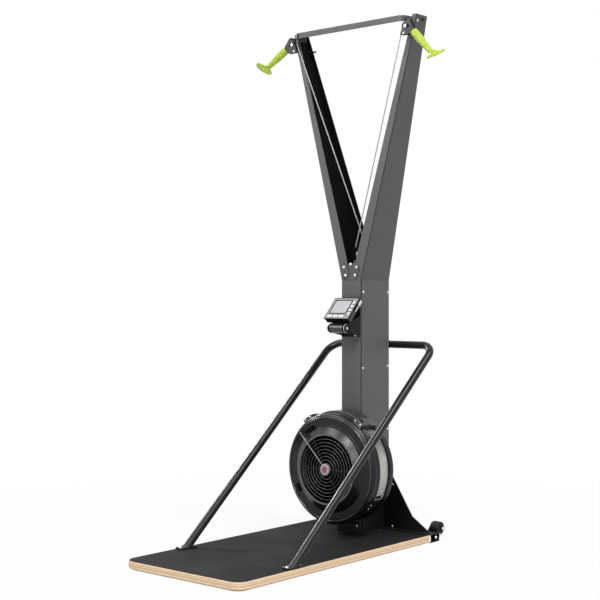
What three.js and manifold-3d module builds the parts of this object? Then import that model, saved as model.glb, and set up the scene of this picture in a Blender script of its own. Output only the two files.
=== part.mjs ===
// Standing ski trainer: a plywood deck, a steel mast that splits into two arms, an air brake
// fan, two spring-returned pull handles, a bent support tube and a tilting monitor.
// Millimetres. +X is the user's right, +Y runs from the user to the mast, +Z is up.
// Lengths along Y are written from the deck's front edge; the whole is centred at the end.
import * as THREE from 'three';
import { mergeVertices } from 'three/addons/utils/BufferGeometryUtils.js';
import Module from 'manifold-3d';

const wasm = await Module();
wasm.setup();

// Fits shared by all pieces
const seat = 0.3;
const cutOverrun = 6;
const weld = 0.0001;

// Deck and rear rail
const deckWidth = 600;
const boardBehindMastFront = 153;
const boardThickness = 28;
const matThickness = 2;
const underlayThickness = 5;
const underlayInset = 12;
const deckCornerRadius = 50;
const railDepth = 64;
const railWall = 4;

// Mast
const mastWidth = 100;
const mastDepth = 200;
const mastFront = 1005;
const mastHeight = 1060;
const mastWall = 3;
const coverThickness = 2.5;
const coverFlange = 24;
const webSetback = 111;

// Arms of the V
const armHeight = 1047;
const armWall = 3;
const armTopInner = 307;
const armTopWidth = 20;
const armTopDepth = 88.6;
const armLean = 12;

// Joint plate where the arms meet the mast
const yokeThickness = 3;
const yokeFootHalfWidth = 30;
const yokeShoulderHalfWidth = 48;
const yokeHeight = 74;
const yokeDrop = 0.5;
const yokeFillet = 9;

// Crossbar between the arm tops
const barThickness = 6;
const barHeight = 24;
const barDrop = 7;
const barStandoff = 33;
const barBendRadius = 33;
const barHalfSpan = 296;
const barTabLength = 55;

// Cords
const cordDiameter = 6;

// Pulley block on each arm
const topPulleyX = 303;
const topPulleyDrop = 55;
const topGrooveRadius = 16;
const topFlangeRadius = 22;
const pulleyWidth = 12;
const blockPlateThickness = 3;
const blockGap = 14;
const blockStandoff = 31;
const blockFootReach = 28;
const blockBelow = 33;
const blockAbove = 33;
const blockCrownInner = 2;
const blockCrownOuter = 16;
const blockEdgeRise = 10;
const blockFillet = 12;
const blockPinRadius = 4;
const blockPinInset = 6;
const blockSpacerRadius = 8;
const topAxleRadius = 5;
const topAxleHeadRadius = 8;
const topAxleHeadLength = 3.5;
const nozzleRadius = 12;
const nozzleBore = 4.2;
const nozzleStart = 30;
const nozzleEnd = 40;
const nozzleRise = 9;

// Pull handles
const handleDroop = { right: 48, left: 31 };
const ferruleLength = 5.4;
const ferruleRadius = 10;
const gripLength = 145;
const gripTopRadius = 16;
const gripSwellRadius = 16.8;
const gripNeckRadius = 10.8;
const gripFootRadius = 40;
const gripFootThickness = 5;
const gripFootFlare = 24;
const gripFootOffset = 11.5;
const gripFootTilt = { right: 40, left: 50 };
const gripFootTwist = { right: 45, left: 40 };
const gripSocketDepth = 18;

// Cord lanes, guide pulleys and spools
const laneSetback = 61;
const laneSpacing = 20;
const spoolWidth = 19;
const spoolCoreRadius = 27;
const spoolFlangeRadius = 40;
const guideFlangeRadius = 34;
const guideRise = 110;
const guideAxleRadius = 8;
const guideAxleHeadRadius = 12;
const guideAxleHeadLength = 3;
const guidePlateHalfWidth = 40;
const guidePlateThickness = 3;
const guidePlateDrop = 95;
const guidePlateCapRadius = 18;
const guideCollarRadius = 14;
const runningGap = 0.4;
const laneGap = 1;

// Drive shaft, bearings and recoil cartridges
const shaftRadius = 8.5;
const shaftLength = 244;
const bearingRadius = 20;
const bearingWidth = 12;
const cartridgeRadius = 38;
const cartridgeWidth = 15;
const cartridgeTabHeight = 16;
const cartridgeTabWidth = 4;

// Fan, with depths given forward of the mast's front
const fanRise = 278;
const coverRadius = 230;
const coverShell = 2.5;
const coverFaceStandoff = 143;
const coverEdgeRadius = 14;
const dishRadius = 178;
const bevelOuterRadius = 172;
const bevelOuterStandoff = 152;
const bevelInnerRadius = 146;
const bevelInnerStandoff = 168;
const bevelLip = 5;
const grilleStandoff = 168;
const grilleDepth = 5;
const grilleRimWidth = 7;
const grilleBarWidth = 3;
const grilleRings = 6;
const grilleSpokes = 6;
const grilleHubRadius = 25;
const bossRadius = 11;
const bossLength = 5;
const badgeRadius = 24;
const badgeThickness = 3.5;
const leverThickness = 2.6;
const leverWidth = 6;
const leverHubRadius = 19;
const leverReach = 203;
const leverAngle = 134;
const leverTabLength = 20;
const leverTabWidth = 16;
const leverTabThickness = 5;
const drumRadius = 220;
const drumWall = 4;
const drumFrontStandoff = 122;
const drumBackStandoff = 21;
const drumRibWidth = 6;
const drumFrontRibStandoff = 102;
const windowLowAngle = -35;
const windowHighAngle = 49;
const windowMargin = 3;
const saddleRise = 8;
const saddleLowAngle = 50;
const latchRise = 17;
const latchHighAngle = 62;
const latchReach = 26;
const latchLength = 60;
const meshThickness = 2;
const backDishDepth = 16;
const backDishWall = 4;
const backBossRadius = 32;
const impellerRadius = 200;
const impellerStandoff = 118;
const impellerDepth = 74;
const impellerPlate = 4;
const impellerHubRadius = 30;
const bladeCount = 12;
const bladeThickness = 3;
const bladeInset = 6;

// Foot in front of the mast, below the fan
const footHalfWidth = 60;
const footReach = 20;
const footHeight = 44;
const footWall = 5;

// Gussets beside the mast
const gussetThickness = 6;
const gussetSetback = 7;
const gussetInset = 12;
const gussetTipHeight = 7;
const gussetKneeX = 200;
const gussetKneeHeight = 64;
const gussetHeight = 298;
const gussetFlangeDepth = 30;
const gussetFlangeThickness = 5;
const gussetCheekThickness = 4;
const gussetCheekInset = 2;
const gussetCheekHeight = 125;

// Support tube and its clamp
const tubeRadius = 16;
const tubeFootInset = 22;
const tubeFootY = 310;
const tubeTopInset = 23;
const tubeTopDrop = 276;
const tubeBendRadius = 64;
const footPlateLength = 86;
const footPlateWidth = 44;
const footPlateThickness = 6;
const clampWidth = 60;
const clampWall = 5;
const clampFlange = 22;

// Transport wheels and brackets
const wheelRadius = 27;
const wheelWidth = 42;
const wheelInset = 35;
const wheelRise = 47;
const wheelGap = 3;
const wheelGrooveDepth = 2;
const wheelAxleRadius = 5;
const earThickness = 4;
const earRadius = 13;
const bracketPlateThickness = 4;
const bracketFoot = 4;
const hubCapRadius = 11;
const hubCapLength = 5;

// Monitor and bracket
const barrelStandoff = 90;
const barrelDrop = 202;
const barrelRadius = 20;
const barrelRightReach = 46;
const barrelLeftReach = 38;
const barrelAxleRadius = 5;
const cheekThickness = 3.7;
const cheekRadius = 17;
const cheekLow = 34;
const cheekHigh = 52;
const endCapRadius = 18;
const endCapLength = 4;
const bracketBackThickness = 3;
const bracketBackLow = 37;
const bracketBackHigh = 80;
const monitorTilt = 42.6;
const monitorWidth = 130;
const monitorHeight = 117;
const monitorDepth = 25;
const monitorFaceOut = 36.6;
const monitorFoot = 20.7;
const monitorFillet = 8;
const screenLeft = 17;
const screenWidth = 80;
const screenLow = 34;
const screenHeight = 66;
const screenRecess = 1.5;
const screenThickness = 1.2;
const keyWidth = 24;
const keyHeight = 10;
const keyPitch = 29;
const keyCount = 3;
const keyLow = 10;
const sideKeyWidth = 14;
const sideKeyHeight = 13;
const sideKeyPitch = 20;
const sideKeyCount = 4;
const sideKeyLow = 28;
const sideKeyInset = 8;
const keyProud = 1.4;
const keyTravel = 1;
const keyDepth = 4;
const neckHalfWidth = 22;
const neckThickness = 6;
const neckHeight = 60;

// Facet counts
const fineSides = 40;
const roundSides = 24;
const smallSides = 16;
const cordSides = 8;
const tubeSides = 14;
const arcStep = 15;

// Places worked out from the sizes
const deckTop = underlayThickness + boardThickness + matThickness;
const boardDepth = mastFront + boardBehindMastFront;
const railFront = boardDepth;
const railBack = railFront + railDepth;
const mastBack = mastFront + mastDepth;
const mastTop = deckTop + mastHeight;
const armFoot = mastTop + seat;
const armTop = armFoot + armHeight + barDrop + barHeight;
const fanZ = deckTop + fanRise;
const guideZ = mastTop + guideRise;
const pitchRadius = spoolCoreRadius + cordDiameter / 2 + seat;
const topPitchRadius = topGrooveRadius + cordDiameter / 2 + seat;
const webFront = mastFront + webSetback;
const gussetReach = deckWidth / 2 - gussetInset;
const wheelX = deckWidth / 2 - wheelInset;
const wheelY = railBack + seat + bracketPlateThickness + wheelGap + wheelRadius;
const overallDepth = wheelY + wheelRadius;
const topPulleyZ = armTop - topPulleyDrop;
const blockFront = mastFront - blockStandoff;
const blockBack = blockFront + 2 * blockPlateThickness + blockGap;
const topLaneY = blockFront + blockPlateThickness + blockGap / 2;
const drumRibRadius = coverRadius - coverShell - seat;
const lanes = { right: mastFront + laneSetback, left: mastFront + laneSetback + laneSpacing };

// Finishes: colour, roughness and metalness read from the photograph
const finishes = {
  powder: { color: 0x5a5b5e, roughness: 0.55, metalness: 0.35 },
  blackSteel: { color: 0x17181a, roughness: 0.35, metalness: 0.4 },
  blackPlastic: { color: 0x222326, roughness: 0.45, metalness: 0.05 },
  greyPlastic: { color: 0x9a9ca0, roughness: 0.5, metalness: 0.05 },
  meshMetal: { color: 0xa3a39c, roughness: 0.5, metalness: 0.6 },
  plywood: { color: 0xd6b28c, roughness: 0.6, metalness: 0 },
  laminate: { color: 0x3d3d42, roughness: 0.75, metalness: 0 },
  rubber: { color: 0x1c1c1e, roughness: 0.85, metalness: 0 },
  lime: { color: 0xbfd84f, roughness: 0.5, metalness: 0 },
  cord: { color: 0xd2d3d4, roughness: 0.8, metalness: 0 },
  steel: { color: 0xb4b7bb, roughness: 0.3, metalness: 0.9 },
  screen: { color: 0xc9c0c6, roughness: 0.25, metalness: 0 },
  key: { color: 0xeeeeee, roughness: 0.5, metalness: 0 },
  badge: { color: 0xb03a45, roughness: 0.35, metalness: 0.1 },
};

// Mesh helpers

function faceOut(geometry) {
  const g = geometry.index ? geometry.toNonIndexed() : geometry;
  const p = g.attributes.position;
  const a = new THREE.Vector3();
  const b = new THREE.Vector3();
  const c = new THREE.Vector3();
  let volume = 0;
  for (let i = 0; i < p.count; i += 3) {
    a.fromBufferAttribute(p, i);
    b.fromBufferAttribute(p, i + 1);
    c.fromBufferAttribute(p, i + 2);
    volume += a.dot(b.cross(c));
  }
  const out = new THREE.BufferGeometry();
  const array = Float32Array.from(p.array);
  if (volume < 0) {
    for (let i = 0; i < array.length; i += 9) {
      for (let k = 0; k < 3; k += 1) {
        const swap = array[i + 3 + k];
        array[i + 3 + k] = array[i + 6 + k];
        array[i + 6 + k] = swap;
      }
    }
  }
  out.setAttribute('position', new THREE.BufferAttribute(array, 3));
  return mergeVertices(out, weld);
}

function toSolid(geometry) {
  const g = faceOut(geometry);
  return new wasm.Manifold(new wasm.Mesh({
    numProp: 3,
    vertProperties: Float32Array.from(g.attributes.position.array),
    triVerts: Uint32Array.from(g.index.array),
  }));
}

function fromSolid(solid) {
  const mesh = solid.getMesh();
  const g = new THREE.BufferGeometry();
  g.setAttribute('position', new THREE.BufferAttribute(Float32Array.from(mesh.vertProperties), 3));
  g.setIndex(Array.from(mesh.triVerts));
  return g;
}

function join(...pieces) {
  return fromSolid(pieces.map(toSolid).reduce((sum, next) => sum.add(next)));
}

function hulled(...pieces) {
  return fromSolid(wasm.Manifold.hull(pieces.map(toSolid)));
}

function cut(piece, ...tools) {
  return fromSolid(tools.map(toSolid).reduce((rest, tool) => rest.subtract(tool), toSolid(piece)));
}

function mirrored(geometry) {
  return faceOut(geometry.clone().scale(-1, 1, 1));
}

function turnedTo(geometry, xAxis, yAxis, zAxis) {
  return geometry.applyMatrix4(new THREE.Matrix4().makeBasis(xAxis, yAxis, zAxis));
}

const alongX = new THREE.Vector3(1, 0, 0);
const alongY = new THREE.Vector3(0, 1, 0);
const alongZ = new THREE.Vector3(0, 0, 1);
const againstY = new THREE.Vector3(0, -1, 0);

// A box between two corners
function block(x, y, z) {
  const g = new THREE.BoxGeometry(x[1] - x[0], y[1] - y[0], z[1] - z[0]);
  return g.translate((x[0] + x[1]) / 2, (y[0] + y[1]) / 2, (z[0] + z[1]) / 2);
}

// A polygon with rounded corners; radii is one radius or one for each point
function outline(points, radii = 0) {
  const shape = new THREE.Shape();
  const count = points.length;
  points.forEach((point, i) => {
    const radius = Array.isArray(radii) ? radii[i] : radii;
    const here = new THREE.Vector2(...point);
    const before = new THREE.Vector2(...points[(i + count - 1) % count]).sub(here);
    const after = new THREE.Vector2(...points[(i + 1) % count]).sub(here);
    const half = before.angleTo(after) / 2;
    const reach = radius / Math.tan(half);
    const start = here.clone().addScaledVector(before.normalize(), reach);
    const end = here.clone().addScaledVector(after.normalize(), reach);
    if (i === 0) {
      shape.moveTo(start.x, start.y);
    } else {
      shape.lineTo(start.x, start.y);
    }
    if (radius > 0) {
      const inward = before.clone().add(after).normalize();
      const centre = inward.multiplyScalar(radius / Math.sin(half)).add(here);
      const from = start.clone().sub(centre).angle();
      const to = end.clone().sub(centre).angle();
      const sweep = THREE.MathUtils.euclideanModulo(to - from + Math.PI, 2 * Math.PI) - Math.PI;
      shape.absarc(centre.x, centre.y, radius, from, from + sweep, sweep < 0);
    }
  });
  return shape;
}

function extruded(shape, depth, curveSegments) {
  return new THREE.ExtrudeGeometry(shape, { depth, curveSegments, bevelEnabled: false });
}

// An outline in X and Z, as thick as the stretch of Y
function uprightPlate(shape, y, curveSegments = 4) {
  const plate = extruded(shape, y[1] - y[0], curveSegments);
  return turnedTo(plate, alongX, alongZ, againstY).translate(0, y[1], 0);
}

// An outline in X and Y, as thick as the stretch of Z
function flatPlate(shape, z, curveSegments = 6) {
  return extruded(shape, z[1] - z[0], curveSegments).translate(0, 0, z[0]);
}

// An outline in Y and Z, as thick as the stretch of X
function sidePlate(shape, x, curveSegments = 4) {
  const plate = extruded(shape, x[1] - x[0], curveSegments);
  return turnedTo(plate, alongY, alongZ, alongX).translate(x[0], 0, 0);
}

// A profile of radius and place along Y, turned about the Y axis
function turned(profile, sides) {
  return new THREE.LatheGeometry(profile.map(([r, y]) => new THREE.Vector2(r, y)), sides);
}

// A tube wall or a bush: a ring profile closed on itself
function ring(inner, outer, y, sides) {
  return turned([[inner, y[0]], [outer, y[0]], [outer, y[1]], [inner, y[1]], [inner, y[0]]], sides);
}

function rodY(radius, y, x, z, sides = smallSides) {
  return new THREE.CylinderGeometry(radius, radius, y[1] - y[0], sides).translate(x, (y[0] + y[1]) / 2, z);
}

function rodX(radius, x, y, z, sides = smallSides) {
  const g = new THREE.CylinderGeometry(radius, radius, x[1] - x[0], sides).rotateZ(Math.PI / 2);
  return g.translate((x[0] + x[1]) / 2, y, z);
}

// A curve that gives exactly the stations it is made of
class Stations extends THREE.Curve {
  constructor(points) {
    super();
    this.points = points;
  }

  getPoint(t) {
    return this.points[Math.round(t * (this.points.length - 1))].clone();
  }

  getPointAt(t) {
    return this.getPoint(t);
  }

  getTangentAt(t) {
    const last = this.points.length - 1;
    const i = Math.round(t * last);
    const ahead = this.points[Math.min(i + 1, last)].clone().sub(this.points[Math.min(i, last - 1)]);
    const behind = this.points[Math.max(i, 1)].clone().sub(this.points[Math.max(i - 1, 0)]);
    return ahead.normalize().add(behind.normalize()).normalize();
  }
}

function tube(points, radius, sides) {
  const section = new THREE.Shape(Array.from({ length: sides }, (_, i) => {
    const angle = (2 * Math.PI * i) / sides;
    return new THREE.Vector2(radius * Math.cos(angle), radius * Math.sin(angle));
  }));
  const extrudePath = new Stations(points);
  return new THREE.ExtrudeGeometry(section, { steps: points.length - 1, extrudePath, curveSegments: 1 });
}

// Points of an arc in X and Z, from one angle to another, at a fixed Y
function arcPoints(centre, radius, from, to, y) {
  const count = Math.max(1, Math.ceil(Math.abs(to - from) / THREE.MathUtils.degToRad(arcStep)));
  return Array.from({ length: count + 1 }, (_, i) => {
    const angle = from + ((to - from) * i) / count;
    return new THREE.Vector3(centre.x + radius * Math.cos(angle), y, centre.y + radius * Math.sin(angle));
  });
}

function add(parent, name, geometry, finish) {
  const shaped = faceOut(geometry);
  shaped.computeVertexNormals();
  const mesh = new THREE.Mesh(shaped, new THREE.MeshStandardMaterial(finishes[finish]));
  mesh.name = name;
  parent.add(mesh);
  return mesh;
}

const sides = { left: -1, right: 1 };

function addPair(parent, name, geometry, finish) {
  add(parent, `${name}_right`, geometry, finish);
  add(parent, `${name}_left`, mirrored(geometry), finish);
}

// Deck: plywood board, laminate top, rubber underlay and the steel rail behind it

function deckOutline(inset) {
  const halfWidth = deckWidth / 2 - inset;
  const corner = deckCornerRadius - inset;
  const points = [
    [-halfWidth, inset], [halfWidth, inset],
    [halfWidth, boardDepth - inset], [-halfWidth, boardDepth - inset],
  ];
  return outline(points, [corner, corner, 0, 0]);
}

function buildDeck(parent) {
  const boardTop = underlayThickness + boardThickness;
  add(parent, 'deck_underlay', flatPlate(deckOutline(underlayInset), [0, underlayThickness]), 'rubber');
  add(parent, 'deck_board', flatPlate(deckOutline(0), [underlayThickness, boardTop]), 'plywood');
  add(parent, 'deck_mat', flatPlate(deckOutline(0), [boardTop, deckTop]), 'laminate');
  const railSection = outline([
    [railFront + seat, 0], [railBack, 0], [railBack, deckTop], [railFront + seat, deckTop],
  ]);
  railSection.holes.push(outline([
    [railFront + seat + railWall, railWall], [railBack - railWall, railWall],
    [railBack - railWall, deckTop - railWall], [railFront + seat + railWall, deckTop - railWall],
  ]));
  add(parent, 'rear_rail', sidePlate(railSection, [-deckWidth / 2, deckWidth / 2]), 'blackSteel');
}

// Gussets: a flared upright plate with a flange on the deck and a cheek on the mast's side

function buildGussets(parent) {
  const inner = mastWidth / 2 + seat;
  const front = railFront + gussetSetback;
  const back = front + gussetThickness;
  const flare = uprightPlate(outline([
    [inner, deckTop], [gussetReach, deckTop], [gussetReach, deckTop + gussetTipHeight],
    [gussetKneeX, deckTop + gussetKneeHeight], [inner, deckTop + gussetHeight],
  ]), [front, back]);
  const flangeTop = deckTop + gussetFlangeThickness;
  const flange = block([inner, gussetReach], [front - gussetFlangeDepth, back], [deckTop, flangeTop]);
  const cheek = block([inner, inner + gussetCheekThickness], [mastFront + gussetCheekInset, back],
    [deckTop, deckTop + gussetCheekHeight]);
  addPair(parent, 'gusset', join(flare, flange, cheek), 'blackSteel');
}

// Mast: an H-shaped frame closed by a front and a rear cover

function buildMast(parent) {
  const outer = mastWidth / 2;
  const inner = outer - mastWall;
  const sideFront = mastFront + coverThickness + seat;
  const sideBack = mastBack - coverThickness - seat;
  const webBack = webFront + mastWall;
  const frame = flatPlate(outline([
    [-outer, sideFront], [-inner, sideFront], [-inner, webFront], [inner, webFront], [inner, sideFront],
    [outer, sideFront], [outer, sideBack], [inner, sideBack], [inner, webBack], [-inner, webBack],
    [-inner, sideBack], [-outer, sideBack],
  ]), [deckTop, mastTop]);
  const throughWeb = [webFront - cutOverrun, webBack + cutOverrun];
  const bearingSeat = rodY(bearingRadius + seat, throughWeb, 0, fanZ, roundSides);
  add(parent, 'mast_frame', cut(frame, bearingSeat), 'powder');

  const flangeOuter = inner - seat;
  const flangeInner = flangeOuter - coverThickness;
  const coverSection = (faceY, way) => outline([
    [-outer, faceY], [outer, faceY],
    [outer, faceY + way * coverThickness], [flangeOuter, faceY + way * coverThickness],
    [flangeOuter, faceY + way * coverFlange], [flangeInner, faceY + way * coverFlange],
    [flangeInner, faceY + way * coverThickness], [-flangeInner, faceY + way * coverThickness],
    [-flangeInner, faceY + way * coverFlange], [-flangeOuter, faceY + way * coverFlange],
    [-flangeOuter, faceY + way * coverThickness], [-outer, faceY + way * coverThickness],
  ]);
  const throughCover = [mastFront - cutOverrun, mastFront + cutOverrun];
  const shaftHole = rodY(bearingRadius, throughCover, 0, fanZ, roundSides);
  const frontCover = flatPlate(coverSection(mastFront, 1), [deckTop, mastTop]);
  add(parent, 'mast_front_cover', cut(frontCover, shaftHole), 'powder');
  add(parent, 'mast_rear_cover', flatPlate(coverSection(mastBack, -1), [deckTop, mastTop]), 'powder');
}

// Arms: tapered channels open towards each other

function armSection(z) {
  const share = (z - armFoot) / (armTop - armFoot);
  const between = (foot, top) => foot + (top - foot) * share;
  return {
    inner: between(seat, armTopInner),
    outer: between(mastWidth / 2, armTopInner + armTopWidth),
    front: between(mastFront, mastFront + armLean),
    back: between(mastBack, mastFront + armTopDepth),
  };
}

function taperedBlock(low, high) {
  const g = new THREE.BoxGeometry(1, 1, 1);
  const p = g.attributes.position;
  for (let i = 0; i < p.count; i += 1) {
    const end = p.getZ(i) < 0 ? low : high;
    p.setXYZ(i, p.getX(i) < 0 ? end.x[0] : end.x[1], p.getY(i) < 0 ? end.y[0] : end.y[1], end.z);
  }
  return g;
}

function buildArms(parent) {
  const outside = (z) => {
    const s = armSection(z);
    return { z, x: [s.inner, s.outer], y: [s.front, s.back] };
  };
  const hollow = (z) => {
    const s = armSection(z);
    return { z, x: [s.inner - cutOverrun, s.outer - armWall], y: [s.front + armWall, s.back - armWall] };
  };
  const channel = cut(
    taperedBlock(outside(armFoot), outside(armTop)),
    taperedBlock(hollow(armFoot - cutOverrun), hollow(armTop - armWall)),
  );
  addPair(parent, 'arm', channel, 'powder');

  const plateLow = mastTop + yokeDrop;
  const plateTop = plateLow + yokeHeight;
  const shoulderDropShare = 0.24;
  const shelfDropShare = 0.14;
  const shelfWidthShare = 0.45;
  const yokeOutline = outline([
    [-yokeFootHalfWidth, plateLow], [yokeFootHalfWidth, plateLow],
    [yokeShoulderHalfWidth, plateTop - shoulderDropShare * yokeHeight],
    [shelfWidthShare * yokeShoulderHalfWidth, plateTop - shelfDropShare * yokeHeight],
    [0, plateTop],
    [-shelfWidthShare * yokeShoulderHalfWidth, plateTop - shelfDropShare * yokeHeight],
    [-yokeShoulderHalfWidth, plateTop - shoulderDropShare * yokeHeight],
  ], [yokeFillet, yokeFillet, yokeFillet, 0, 0, 0, yokeFillet]);
  const yokeBack = mastFront - seat;
  add(parent, 'yoke_plate', uprightPlate(yokeOutline, [yokeBack - yokeThickness, yokeBack]), 'powder');
}

// Crossbar: a flat bar bent back at both ends to tabs inside the arms

function buildCrossbar(parent) {
  const high = armTop - barDrop;
  const low = high - barHeight;
  const frontY = mastFront - barStandoff;
  const tabEnd = mastFront + barTabLength;
  const half = barHalfSpan;
  const innerHalf = half - barThickness;
  const innerBend = barBendRadius - barThickness;
  const bar = flatPlate(outline([
    [-half, tabEnd], [-half, frontY], [half, frontY], [half, tabEnd],
    [innerHalf, tabEnd], [innerHalf, frontY + barThickness],
    [-innerHalf, frontY + barThickness], [-innerHalf, tabEnd],
  ], [0, barBendRadius, barBendRadius, 0, 0, innerBend, innerBend, 0]), [low, high]);
  const padEnd = armSection(low).outer - armWall - seat;
  const padFront = armSection(armTop).front + armWall + seat;
  const pad = block([innerHalf, padEnd], [padFront, tabEnd], [low, high]);
  add(parent, 'crossbar', join(bar, pad, mirrored(pad)), 'powder');
}

// Pulley block: two cheek plates round a pulley, with a nozzle that the cord leaves through

const topCentre = new THREE.Vector2(topPulleyX, topPulleyZ);

// The line in X and Z along which a handle is pulled, drawn on the right side
function handleLine(side) {
  const droop = THREE.MathUtils.degToRad(handleDroop[side]);
  const way = new THREE.Vector2(Math.cos(droop), -Math.sin(droop));
  const up = new THREE.Vector2(Math.sin(droop), Math.cos(droop));
  const start = topCentre.clone().addScaledVector(up, nozzleRise);
  return { droop, up, start, at: (distance) => start.clone().addScaledVector(way, distance) };
}

function rodOnLine(line, radius, from, to) {
  const g = new THREE.CylinderGeometry(radius, radius, to - from, smallSides);
  const middle = line.at((from + to) / 2);
  return g.rotateX(Math.PI / 2).rotateY(Math.PI / 2 + line.droop).translate(middle.x, topLaneY, middle.y);
}

function blockShape(line) {
  const low = topPulleyZ - blockBelow;
  const high = topPulleyZ + blockAbove;
  const edge = line.at(nozzleEnd);
  const shoulder = edge.clone().addScaledVector(line.up, blockEdgeRise);
  const edgeFoot = edge.x + (low - edge.y) * Math.tan(line.droop);
  return outline([
    [topPulleyX - blockFootReach, low], [edgeFoot, low], [shoulder.x, shoulder.y],
    [topPulleyX + blockCrownOuter, high], [topPulleyX - blockCrownInner, high],
  ], [blockFillet / 4, blockFillet / 4, blockFillet / 2, blockFillet, blockFillet / 4]);
}

function buildBlocks(parent) {
  const span = [blockFront, blockBack];
  const pinX = topPulleyX - topPitchRadius / 2;
  const pinZ = topPulleyZ - blockBelow + blockPinInset;
  const crownX = topPulleyX + blockCrownInner;
  const crownZ = topPulleyZ + blockAbove - blockPinInset;
  const armFace = (z) => armSection(z).front - seat;
  const headSpan = [blockFront - topAxleHeadLength, blockFront + blockPlateThickness / 2];
  const spacerSpan = [blockBack - blockPlateThickness / 2, armFace(topPulleyZ - blockSpacerRadius)];
  for (const side of Object.keys(sides)) {
    const line = handleLine(side);
    const shape = blockShape(line);
    const solid = join(
      uprightPlate(shape, [blockFront, blockFront + blockPlateThickness]),
      uprightPlate(shape, [blockBack - blockPlateThickness, blockBack]),
      rodY(blockPinRadius, [blockFront, armFace(pinZ - blockPinRadius)], pinX, pinZ),
      rodY(blockPinRadius, span, crownX, crownZ),
      rodY(topAxleRadius, span, topPulleyX, topPulleyZ),
      rodY(topAxleHeadRadius, headSpan, topPulleyX, topPulleyZ),
      rodY(blockSpacerRadius, spacerSpan, topPulleyX, topPulleyZ),
      rodOnLine(line, nozzleRadius, nozzleStart, nozzleEnd),
    );
    const bore = rodOnLine(line, nozzleBore, nozzleStart - cutOverrun, nozzleEnd + cutOverrun);
    const blockSolid = cut(solid, bore);
    add(parent, `pulley_block_${side}`, side === 'left' ? mirrored(blockSolid) : blockSolid, 'blackSteel');
    const profile = grooved(topAxleRadius + runningGap, topGrooveRadius, topFlangeRadius, pulleyWidth);
    const pulley = turned(profile, roundSides).translate(sides[side] * topPulleyX, topLaneY, topPulleyZ);
    add(parent, `top_pulley_${side}`, pulley, 'blackPlastic');
  }
}

// A grooved wheel's profile, centred on zero, with the groove's floor as wide as the cord
function grooved(bore, groove, flange, width) {
  const half = width / 2;
  const floor = cordDiameter / 2 + seat;
  const rim = (half + floor) / 2;
  return [
    [bore, -half], [flange, -half], [flange, -rim], [groove, -floor],
    [groove, floor], [flange, rim], [flange, half], [bore, half], [bore, -half],
  ];
}

// Pull handles: a tapered grip with a collar and a slanted foot, and the cord's end inside

function buildHandles(parent) {
  const collarStart = nozzleEnd + seat;
  const gripStart = collarStart + ferruleLength;
  const gripEnd = gripStart + gripLength;
  const socketEnd = gripStart + gripSocketDepth;
  const socket = cordDiameter / 2 + seat;
  const swellShare = 0.2;
  const neckShare = 0.8;
  const neckEnd = gripEnd - gripFootFlare;
  const flareRadiusShare = 0.6;
  const stubStart = (nozzleStart + nozzleEnd) / 2 + seat;
  const shaft = [
    [0, socketEnd], [socket, socketEnd], [socket, collarStart], [ferruleRadius, collarStart],
    [ferruleRadius, gripStart], [gripTopRadius, gripStart],
    [gripSwellRadius, gripStart + swellShare * gripLength],
    [gripNeckRadius, gripStart + neckShare * gripLength], [gripNeckRadius, neckEnd], [0, neckEnd],
  ];
  const foot = [
    [0, -gripFootThickness / 2], [gripFootRadius, -gripFootThickness / 2],
    [gripFootRadius, gripFootThickness / 4],
    [gripFootRadius - gripFootThickness / 4, gripFootThickness / 2], [0, gripFootThickness / 2],
  ];
  const flare = [
    [0, -gripFootThickness / 2], [flareRadiusShare * gripFootRadius, -gripFootThickness / 2],
    [flareRadiusShare * gripFootRadius, 0], [0, 0],
  ];
  const neck = [
    [0, neckEnd - gripFootThickness], [gripNeckRadius, neckEnd - gripFootThickness],
    [gripNeckRadius, neckEnd], [0, neckEnd],
  ];
  for (const [side, way] of Object.entries(sides)) {
    const line = handleLine(side);
    const group = new THREE.Group();
    group.position.set(way * line.start.x, topLaneY, line.start.y);
    group.rotation.y = way * (Math.PI / 2 + line.droop);
    parent.add(group);
    const tilt = THREE.MathUtils.degToRad(gripFootTilt[side]);
    const twist = THREE.MathUtils.degToRad(gripFootTwist[side]);
    const slanted = (profile) => turned(profile, smallSides).rotateX(Math.PI / 2)
      .rotateY(way * tilt).rotateZ(twist).translate(-way * gripFootOffset, 0, gripEnd);
    const straight = (profile) => turned(profile, smallSides).rotateX(Math.PI / 2);
    const ankle = hulled(straight(neck), slanted(flare));
    add(group, `handle_grip_${side}`, join(straight(shaft), ankle, slanted(foot)), 'lime');
    const stub = turned([
      [0, stubStart], [cordDiameter / 2, stubStart],
      [cordDiameter / 2, socketEnd - seat], [0, socketEnd - seat],
    ], smallSides);
    add(group, `handle_cord_${side}`, stub.rotateX(Math.PI / 2), 'cord');
  }
}

// Drive cords: nozzle, over the top pulley, across to the guide pulley, down to the spool

function cordRoute(side) {
  const line = handleLine(side);
  const laneY = lanes[side];
  const bendAt = line.at(nozzleStart - cordDiameter / 2);
  const lead = bendAt.clone().sub(topCentre);
  const on = lead.angle() + Math.acos(topPitchRadius / lead.length()) - 2 * Math.PI;
  const guideCentre = new THREE.Vector2(0, guideZ);
  const drop = guideCentre.clone().sub(topCentre);
  const off = drop.angle() - Math.acos((topPitchRadius - pitchRadius) / drop.length());
  const start = line.at((nozzleStart + nozzleEnd) / 2);
  const points = [
    new THREE.Vector3(start.x, topLaneY, start.y),
    new THREE.Vector3(bendAt.x, topLaneY, bendAt.y),
    ...arcPoints(topCentre, topPitchRadius, on, off, topLaneY),
    ...arcPoints(guideCentre, pitchRadius, off, Math.PI, laneY),
    new THREE.Vector3(-pitchRadius, laneY, fanZ),
  ];
  return points.map((p) => new THREE.Vector3(sides[side] * p.x, p.y, p.z));
}

function buildCords(parent) {
  for (const side of Object.keys(sides)) {
    add(parent, `drive_cord_${side}`, tube(cordRoute(side), cordDiameter / 2, cordSides), 'cord');
  }
}

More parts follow.
